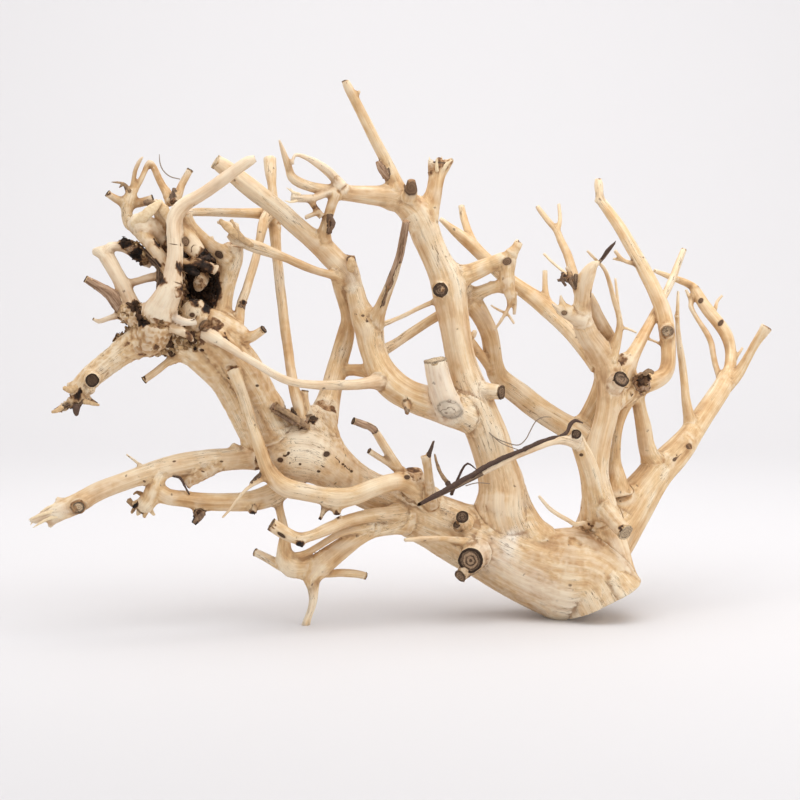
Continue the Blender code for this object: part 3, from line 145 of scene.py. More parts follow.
# The big limb that rises from the middle to the gnarled head at the left, and the head itself.
HEAD = {
    "big_limb": [(-80, -34, -21, 30), (-90, -16, -28, 28), (-97, -2, -33, 27), (-103, 10, -39, 27),
     (-110, 22, -44, 28), (-120, 34, -48, 29), (-131, 46, -51, 30)],
    "big_limb_edge": [(-97, -40, -26, 13), (-106, -24, -32, 13.5), (-113, -10, -36, 14), (-118.5, 1, -39, 15),
     (-125, 12, -43, 16), (-133, 21.5, -47, 17), (-143, 31, -51, 18), (-152, 38, -52, 20)],
    "head_right_wall": [(-119, 46, -49, 20), (-124, 60, -44, 14), (-123, 70, -43, 11.5), (-122, 80, -42, 13),
     (-120.5, 90, -41, 16), (-117.5, 99, -42, 16), (-115.5, 108.5, -45, 12)],
    "head_top_arch": [(-121, 100, -45, 14), (-130, 106.5, -50, 9.5), (-139, 114, -54, 8.5), (-146.5, 122, -57, 8.5),
     (-150, 130, -60, 8)],
    "head_inner_curl": [(-158, 124, -60, 10), (-151, 115, -62, 13), (-145, 107.5, -63, 13.5),
     (-140.5, 103, -63, 10.5)],
    "head_arch_rim": [(-155, 97, -65, 6), (-147, 96.5, -63, 5.5), (-137, 94.5, -60, 6), (-129, 91, -56, 8)],
    "head_back": [(-140, 44, -30, 30), (-142, 66, -20, 30), (-142, 86, -20, 30), (-138, 102, -28, 24)],
    "head_back_left": [(-158, 50, -39, 26), (-160, 72, -43, 20), (-160, 92, -47, 18), (-162, 112, -51, 16)],
    "head_dome": [(-142, 48, -50, 20), (-143, 60, -56, 19), (-143.3, 66, -59, 16), (-143.3, 69.5, -60, 10)],
    "hollow_tongue": [(-138, 85, -34, 9), (-140, 81.5, -44, 9.5), (-141.5, 79, -49, 7)],
    "inner_plate": [(-153, 93, -60, 5), (-147, 90.5, -60, 5.5), (-141, 88.5, -57, 4)],
    "lower_finger": [(-161, 51, -66, 7), (-153, 48, -70, 6.4), (-147.5, 44.5, -71, 4.8), (-145.5, 41, -70, 2.6)],
    "hollow_rim": [(-166, 63, -66, 6), (-158, 58, -68, 5.6), (-149, 54.3, -71, 5), (-143, 55, -70, 4.6)],
    "rough_mass": [(-126, 46, -52, 22), (-143, 41, -52, 20), (-158, 42, -53, 22), (-174, 43, -53, 22),
     (-188, 40, -54, 20)],
    "rough_mass_top": [(-146, 52, -51, 14), (-160, 56, -57, 16), (-176, 56, -57, 20), (-188, 58, -56, 16)],
    "right_knob_branch": [(-140, 56, -52, 16), (-131, 56, -53, 15), (-122, 51.8, -54, 14.5), (-113, 47.2, -54, 12.5),
     (-106.5, 44, -54, 9), (-101, 45.7, -56, 6.8), (-95.8, 49.3, -58, 5.8)],
    "right_knob_peg": [(-111, 43, -54, 4.5), (-110.5, 39, -54, 3.2), (-110, 34.5, -54, 2.2)],
    "behind_rod": [(-114, 50, -50, 9), (-112.5, 57, -46, 7.5), (-111.5, 66, -39, 6.8), (-108, 76, -31, 6.2),
     (-105, 86, -23, 6.1), (-101.3, 98, -14, 5.8), (-98, 112, 0, 6), (-95, 125, 15, 8), (-90, 132, 24, 9)],
    "behind_rod_flap": [(-112, 62, -42, 6), (-110, 67.5, -42, 4), (-107, 68.3, -42, 1.6)],
    "white_branch": [(-172, 44, -52, 20), (-171.5, 53, -60, 23), (-168, 63, -67, 22), (-163, 73, -71, 18.5),
     (-159.7, 82, -72, 14.6), (-158.3, 92, -72, 12.3), (-157.3, 103, -72, 11.3), (-158, 114, -71, 10.7),
     (-158.5, 124, -69, 11.3), (-155.5, 132, -68, 11.3), (-149.5, 137.8, -68, 9.8), (-141, 142.5, -68, 9),
     (-132, 148.5, -68, 9), (-122, 155.7, -69, 8.6), (-113, 162.2, -69, 8.2), (-106, 167, -69, 7.4),
     (-101.5, 169, -69, 5)],
    "white_branch_knot": [(-159, 77, -72, 12), (-155.5, 76, -75, 9)],
    "cluster_node": [(-178, 58, -62, 16), (-187, 60, -62, 16), (-192.5, 61.5, -60, 12)],
    "white_loop": [(-186, 62, -61, 12), (-190.5, 72, -60, 11), (-195, 82, -60, 10.3), (-200, 91, -59, 10.3),
     (-205, 99, -57, 10.8), (-209.5, 103.6, -57, 8.4), (-214, 103.5, -55, 5.2)],
    "white_loop_top": [(-207, 101, -57, 8), (-202.5, 107, -57, 7.4), (-195, 107, -56, 6.4), (-188.5, 104, -55, 6.8),
     (-181, 100, -54, 8.5), (-174, 96, -51, 8)],
    "bark_lump": [(-195, 112, -58, 5), (-190, 108.5, -58, 7), (-184, 104, -56, 9), (-181, 98, -56, 8)],
    "brown_twig": [(-193, 61, -60, 9), (-197.5, 67, -61, 9), (-203, 74, -63, 8.6), (-210, 79, -64, 6.8),
     (-219.5, 84.5, -65, 5)],
    "left_tip": [(-194, 60, -60, 6), (-200, 58.5, -61, 4.5), (-206, 56.5, -62, 3.6), (-211, 55, -62, 3.1),
     (-214.5, 56.6, -63, 2)],
    "rung": [(-191, 81.3, -59, 6), (-182, 83.8, -59, 5.2), (-174, 86, -58, 6), (-164, 87, -57, 7)],
    "rung_peg": [(-167, 92, -58, 6), (-168, 84, -60, 4.8), (-170, 76, -62, 2)],
    "dark_brace": [(-179, 105, -56, 5), (-171, 97, -55, 6), (-164, 88, -54, 6)],
    "tan_lobe": [(-182, 119, -59, 11), (-178.5, 114, -62, 10), (-174, 108.5, -64, 9.3), (-169, 102, -65, 9),
     (-165, 96, -64, 8.6), (-162, 90, -62, 7)],
    "pale_knob": [(-187, 126, -56, 9), (-182.5, 123.5, -58, 14.5), (-178, 121, -59, 16), (-172, 118, -57, 13),
     (-166, 112, -54, 11)],
    "pale_knob_arm": [(-184, 125, -54, 8), (-178, 129, -55, 6), (-174, 134, -57, 4.4), (-170.3, 139.8, -57, 4)],
    "upper_lobe": [(-170.5, 139, -56, 5), (-169, 132, -56, 7.8), (-166, 127, -56, 8.4), (-163, 121, -57, 8)],
    "head_link": [(-172, 114, -53, 8), (-165, 118, -55, 8), (-160, 124, -58, 9)],
    "twig_stem": [(-178, 114, -54, 9), (-186, 120, -52, 7.8), (-190.5, 124, -50, 7), (-191.3, 131, -49, 7.6),
     (-190, 139, -48, 9.7), (-187.3, 146, -48, 7.6), (-184, 150.3, -47, 4.8), (-181, 155, -47, 3.8),
     (-178.3, 161, -46, 3.8), (-175.5, 166, -46, 4.3), (-172.5, 163, -45, 4.6), (-170, 157.5, -46, 5),
     (-166.5, 150.5, -47, 5.6), (-163, 144.5, -50, 7), (-160, 138, -53, 9)],
    "twig_tall": [(-187.5, 147, -48, 4.4), (-186.4, 154, -49, 3.3), (-185.5, 160, -50, 3.1), (-183, 166, -52, 3),
     (-180, 170.5, -53, 1.2)],
    "twig_bark": [(-190, 145, -48, 4), (-192.5, 150.5, -49, 2.8), (-196, 152, -50, 1.9)],
    "twig_left": [(-190, 137, -48, 8), (-196, 139.3, -49, 6.2), (-201, 142, -49, 5.2), (-204.3, 144.3, -49, 4.8)],
    "twig_foot": [(-190, 127, -50, 7), (-190.6, 121.5, -51, 4)],
    "brown_peg": [(-188, 137, -48, 6), (-180, 138.5, -46, 6.4), (-173.5, 140.5, -45, 6.2)],
    "tan_twig": [(-158, 138, -57, 8), (-155, 145, -53, 6.2), (-152.5, 151, -50, 5.2), (-147.3, 160.5, -48, 4.6)],
    "dark_peg": [(-158.5, 138, -59, 6), (-158.3, 148.5, -55, 2.4)],
    "finger": [(-129, 104, -46, 6), (-131.5, 110, -45, 4.6), (-132.7, 114.5, -45, 3.6)],
    "snout": [(-166, 44, -56, 20), (-180, 42, -57, 22), (-192, 35.5, -57, 19), (-201, 28.5, -59, 17.5),
     (-210, 21.5, -60, 16.5), (-218, 14.5, -62, 15.5), (-224, 8, -63, 13), (-226, 2, -64, 10.5)],
    "snout_tip": [(-224, 2, -64, 8), (-231, -2.5, -65, 6.6), (-237, -5.8, -66, 5.3), (-242.5, -8, -68, 2)],
    "snout_peg": [(-224, 0, -64, 7), (-226, -4, -65, 5), (-226.6, -9.3, -65, 3.8)],
    "snout_flare": [(-223, 2, -64, 7), (-217, -0.5, -63, 4.4), (-212, -2.8, -63, 2.2)],
    "snout_lip": [(-219, 10, -64, 9), (-216.5, 5, -66, 6.5)],
    "snout_burr": [(-227, 9, -63, 7), (-233, 10.5, -63, 3.6)],
    "snout_knot": [(-215.5, 15, -64, 11), (-215.5, 14, -73, 9)],
    "thin_peg": [(-154, 31, -54, 9), (-162, 26.8, -54, 5.4), (-170, 20.5, -54, 5.1), (-178.7, 14.2, -53, 5)],
    "drip": [(-173, 36, -54, 6), (-174, 30, -54, 2.4)],
    "drip_right": [(-160, 33, -53, 8), (-158.5, 26, -53, 4)],
}

# The limbs and rods that run up and across in the left half.
RODS = {
    "tall_rod": [(-91, 168.7, 53, 8.8), (-90.6, 160, 49, 8.4), (-89.6, 150, 44, 6.2), (-88.6, 138, 40, 7),
     (-88, 125, 36, 8.6), (-86.6, 105, 26, 7.2), (-85.3, 92, 19, 7), (-84, 80, 11, 7), (-82.2, 65, 0, 7),
     (-80.4, 50, -9, 7), (-78.3, 35, -18, 7), (-76.3, 20, -28, 7), (-73.5, 5, -34, 7.6), (-71, -5, -37, 7.5),
     (-69.5, -13, -37, 6.5)],
    "cross_rod": [(-87, 124, 34, 10), (-94, 129.3, 31, 9.4), (-102, 130.8, 24, 7.2), (-115, 131, 12, 6.3),
     (-130, 131.4, -6, 6), (-142, 131.5, -22, 5.8), (-150, 130.8, -36, 6), (-158, 128, -53, 8)],
    "hub_peg": [(-65, -10, -31, 8), (-67, 0, -31, 6.4), (-66.5, 6, -31, 5)],
    "hub_bark": [(-66, -16, -35, 7), (-76, -12, -40, 6), (-82, -8.5, -43, 6), (-86.8, -5.3, -44, 6)],
    "hub_bark_peg": [(-73, -12, -40, 3.4), (-76, -5.5, -44, 2.2)],
    "thick_limb": [(-33, 80, -8, 13), (-38, 90, -9, 14.5), (-46, 98, -10, 16.5), (-54, 106.3, -11, 15.5),
     (-63, 114, -13, 14), (-72, 122, -14, 13.5), (-82, 131, -16, 13.5), (-92, 138.8, -17, 13.5),
     (-101, 146, -19, 13.8), (-109, 152.2, -20, 13.2), (-117, 158.3, -20, 12), (-124, 163.4, -21, 11.5),
     (-128.5, 166.4, -22, 10)],
    "bridge_twig": [(-45, 145, -20, 8), (-48, 136, -20, 7), (-50.3, 128, -18, 7), (-52.5, 120, -17, 8.5),
     (-54, 110, -13, 12)],
    "bridge_bark": [(-49, 129, -21, 3.4), (-49, 122, -22, 3.8), (-49, 116.5, -21, 3)],
    "bridge_branch": [(-63, 140, -26, 4), (-59, 134, -24, 4.4), (-55, 128.5, -22, 5)],
    "bridge_branch_end": [(-57, 131.5, -24, 3.6), (-62, 129.5, -26, 3.2), (-66.5, 127.5, -27, 3)],
    "gnarled_branch": [(-38, 82, -9, 9), (-45, 86.8, -14, 7), (-52, 88.6, -20, 5.8), (-60, 91, -26, 5.7),
     (-70, 95, -32, 6.3), (-80, 99.4, -39, 6.1), (-90, 103.3, -46, 7.6), (-98, 106.4, -50, 8.6),
     (-106, 109, -54, 8.2), (-112, 112, -56, 7.6), (-116, 117, -58, 7.6), (-118, 121.3, -58, 7),
     (-122, 123, -59, 4.6), (-128.3, 124.6, -59, 1.6)],
    "gnarled_shoulder": [(-116, 118, -58, 7), (-114.5, 123.6, -57, 4)],
    "gnarled_spur": [(-109, 110, -57, 5.5), (-116, 110.8, -57, 4.2), (-120.6, 115, -57, 2.4)],
    "second_limb": [(59, -19, 5, 18), (48, -11.5, -4, 22.5), (40, -8, -7, 24), (28, -3.5, -7, 24), (15, 0, -7, 22.3),
     (5, 4, -7, 21.3), (-5, 10.5, -6, 21.3), (-13, 20, -5, 20), (-17.5, 30, -4, 18.5), (-20.5, 40, -4, 19.2),
     (-22, 50, -5, 20.5), (-25.5, 58, -5, 19), (-28.8, 66, -7, 15), (-31, 74, -7, 13.3), (-33, 82, -8, 12.7),
     (-34, 90, -9, 11), (-34.3, 96, -10, 8), (-34.2, 101, -10, 5.4)],
    "second_limb_peg": [(5, -2, -16, 6), (5, -9.6, -20, 3)],
    "dark_strip": [(-19, 48, -6, 14), (-16.5, 57, -10, 11), (-13.5, 64.8, -14, 8.8), (-10.5, 72, -18, 7.6),
     (-7.5, 80, -23, 7), (-4.7, 87, -27, 6.6), (-2, 95, -32, 5.9), (0.6, 105, -37, 5.7), (2.5, 115, -42, 5.6),
     (4.2, 125, -48, 5.5)],
    "strand": [(-45.5, 86, -12, 6.5), (-43.3, 78, -8, 6.7), (-40.2, 69, -1, 7.2), (-38, 61, 3, 7.2), (-37, 55, 7, 9),
     (-37.5, 49, 11, 11.5), (-39, 41, 13, 13.2), (-41.5, 32, 12, 13.5), (-44.5, 22, 9, 13.8), (-47.5, 10, 2, 14.5),
     (-50.5, -2, -4, 16.5), (-54, -14, -11, 20)],
    "strand_web": [(-42, 20, 8, 8), (-33, 21, 5, 8), (-22, 20, 0, 10)],
    "thin_arm": [(-12, 13, -11, 12), (-22, 12, -18, 8.6), (-30, 10.8, -24, 7.4), (-42, 10.4, -33, 6.9),
     (-56, 10.4, -41, 6.4), (-70, 11.5, -48, 5.8), (-80, 14, -52, 5.7), (-90, 19, -58, 5.6), (-100, 25, -63, 5.4),
     (-110, 31, -66, 5.8), (-120, 37.3, -67, 6.5), (-128, 42.3, -67, 7.8), (-137, 47, -62, 9)],
}

# The upright central limb with its arms.
CENTRE = {
    "central_limb": [(95, -123, 12, 24), (85, -106, 8, 28), (76, -90, 2, 31), (71.5, -76, 0, 33), (71.5, -62, 2, 31),
     (67.5, -44, 1, 27.5), (62.5, -27, 0, 28), (56, -9, 0, 26), (48.5, 9, 0, 23.5), (43, 25, 0, 21.3),
     (40, 38, -1, 20.4), (38, 50, -1, 21), (36.5, 60, 0, 22), (35, 70, 0, 23), (33.5, 80, 0, 23), (30, 90, 0, 21),
     (25.3, 100, 0, 19.5), (20.8, 110, 0, 19.6), (16.7, 120, -2, 20), (11.5, 130, -3, 21), (3.5, 138, -5, 18.5),
     (-8, 142, -7, 15.5), (-20, 143.4, -10, 13.3), (-32, 144.3, -13, 11.5), (-44, 145.5, -16, 10.5),
     (-53, 147, -19, 8), (-62, 149.2, -22, 7.3), (-70, 152, -24, 7.2), (-75.7, 156, -27, 6.6),
     (-77.5, 161, -28, 5.4), (-79, 166, -30, 4.9), (-81.7, 174, -33, 3.8), (-84.6, 182, -35, 1.3)],
    "central_back_strand": [(103, -112, 12, 30), (93, -94, 16, 19), (86.5, -82, 16, 16), (79, -68, 12, 17)],
    "splintered_fork": [(15, 122, -1, 20), (20.5, 134, -1, 15), (23.7, 145, -1, 11.8), (25.3, 154, 0, 11),
     (26.6, 160, 1, 11.6), (27, 165, 1, 11)],
    "splinter_left": [(24, 156, 0, 8), (22.3, 163, 0, 6), (20.6, 168.3, 0, 2.4)],
    "splinter_mid": [(27, 158, 2, 9), (27.5, 165, 3, 7), (27.5, 169.3, 3, 3.6)],
    "splinter_right": [(27, 157, 3, 9), (32, 164, 3, 7.4), (36.8, 168.5, 3, 3)],
    "up_twig": [(0, 138, -5, 16), (-3.5, 150, -6, 13), (-6.3, 159, -8, 9.8), (-11, 169.5, -10, 8.3),
     (-16, 179, -13, 7.7), (-21, 189, -15, 7.5), (-26, 199, -17, 7.1), (-31, 209, -19, 6.9),
     (-35.5, 217.5, -22, 6.6), (-38.3, 223.3, -23, 5.2)],
    "up_twig_burr": [(-31.5, 213, -20, 4.4), (-28, 216.3, -21, 2)],
    "up_twig_bark": [(-9, 157, -10, 7), (-13.5, 162.5, -13, 5), (-15.8, 166.8, -15, 3.4)],
    "dark_stub": [(6, 139, -10, 9), (7.5, 146.5, -17, 9.4), (8, 153.6, -21, 5.6)],
    "curl_twig": [(-41, 149, -19, 9), (-46, 155.5, -20, 6.8), (-52, 161.5, -22, 6.6), (-58, 165.6, -24, 5.6),
     (-64, 169, -26, 4), (-70, 171.3, -28, 2.8), (-73.5, 171.3, -30, 2.3), (-75, 168, -31, 1.9),
     (-74.6, 164.8, -32, 1.4)],
    "split_end": [(-45, 147, -20, 7), (-52, 144.5, -22, 5.2), (-60, 141.5, -25, 5.2), (-68, 141, -28, 5.6),
     (-76, 141.6, -31, 5.4)],
    "split_end_splinter": [(-73, 143, -30, 3), (-77, 148.2, -31, 1.1)],
    "central_knot": [(28.5, 77, -3, 12), (28.3, 77, -12, 9.2)],
    "right_branch": [(33, 83, 2, 18), (42, 86.5, 3, 15.3), (50, 89, 4, 13.3), (57, 92, 3, 12.3), (64, 95, 3, 11),
     (71, 97.7, 2, 10.6), (76.3, 100.3, 2, 9.6), (80, 105, 1, 7.4), (82.7, 109.5, 1, 4.6)],
    "right_branch_horn": [(81, 106, 1, 6), (82, 112.5, 1, 1.8)],
    "right_branch_snag": [(82, 107, 1, 6), (85.3, 109.5, 0, 1.8)],
    "gnarl": [(75, 98, 2, 13), (75, 90, 2, 10.6), (75, 83, 2, 11.2), (76, 77, 2, 9.2), (77, 72, 1, 6.4),
     (76.5, 66, 2, 3.1), (74, 61, 2, 2.5), (71, 56, 2, 2.4), (66, 48.6, 3, 1.4)],
    "gnarl_sliver": [(77, 76, 2, 7), (80.5, 70, 2, 3), (80.2, 65, 2, 2.8), (79.8, 59.5, 2, 2)],
    "gnarl_spike": [(79.5, 71, 2, 3), (82, 75.5, 2, 1.6)],
    "crossing_twig": [(63.5, 66.5, 6, 1.3), (68, 63.5, 6, 1.6), (74.5, 60.5, 3, 2.2), (77.3, 57.5, 3, 2),
     (80, 53.3, 3, 1.7)],
    "lower_loop": [(40, 69, 9, 14), (50, 72.7, 12, 10.3), (57, 75.6, 10, 9), (64, 78.2, 7, 8.5), (73, 80.5, 3, 9)],
    "lower_loop_burr": [(63, 80, 8, 5), (64, 83, 7, 2)],
    "back_bow": [(43, 76, 13, 16), (52, 66, 17, 14.5), (58, 56.5, 22, 13), (62.3, 46.5, 28, 12.3),
     (64.3, 36, 33, 12.3), (65.6, 26, 39, 12.8), (68.5, 17, 45, 14.2), (75, 10.5, 48, 15.5), (84, 3.8, 48, 16.3),
     (94, -4, 47, 16.5), (106, -12, 42, 16.5), (118, -19.5, 36, 16.5), (130, -28, 28, 17), (137, -40, 20, 17)],
    "chip": [(47, 43, 2, 5), (51.5, 45.5, -1, 4.2), (52.3, 49, -2, 2.6)],
    "pale_strand": [(46, 44, 10, 9), (52, 37, 19, 6.8), (58, 29.5, 30, 6.8), (65, 21, 41, 9)],
    "side_stub": [(46, 6, -2, 13), (55, 6.8, -5, 11.3), (63, 6.2, -8, 10.6), (70.3, 5.4, -12, 10)],
    "cut_block": [(35, -8, -16, 17), (30.5, 5, -19, 16.3), (27, 16, -20, 16), (25, 26.8, -22, 15.6)],
    "upper_crossing": [(-18, 51, -4, 5), (-6, 55.3, -1, 3.3), (4, 59.7, 0, 3.1), (14, 64.7, 2, 3.1),
     (28, 70.6, 2, 4)],
    "lower_crossing": [(-18, 31, 0, 9), (-4, 39, 8, 7), (5, 45, 11, 6.6), (14, 51, 13, 6.6), (22, 56.3, 13, 6.6),
     (34, 63, 10, 7)],
    "far_knob": [(-18, 56, 6, 8), (-10, 62, 20, 7), (-4.5, 66, 30, 7.4), (-0.5, 67, 33, 5)],
    "far_knob_twig": [(-1.5, 68, 33, 2.6), (2, 72.5, 35, 1.6), (6, 75, 36, 1.2)],
}

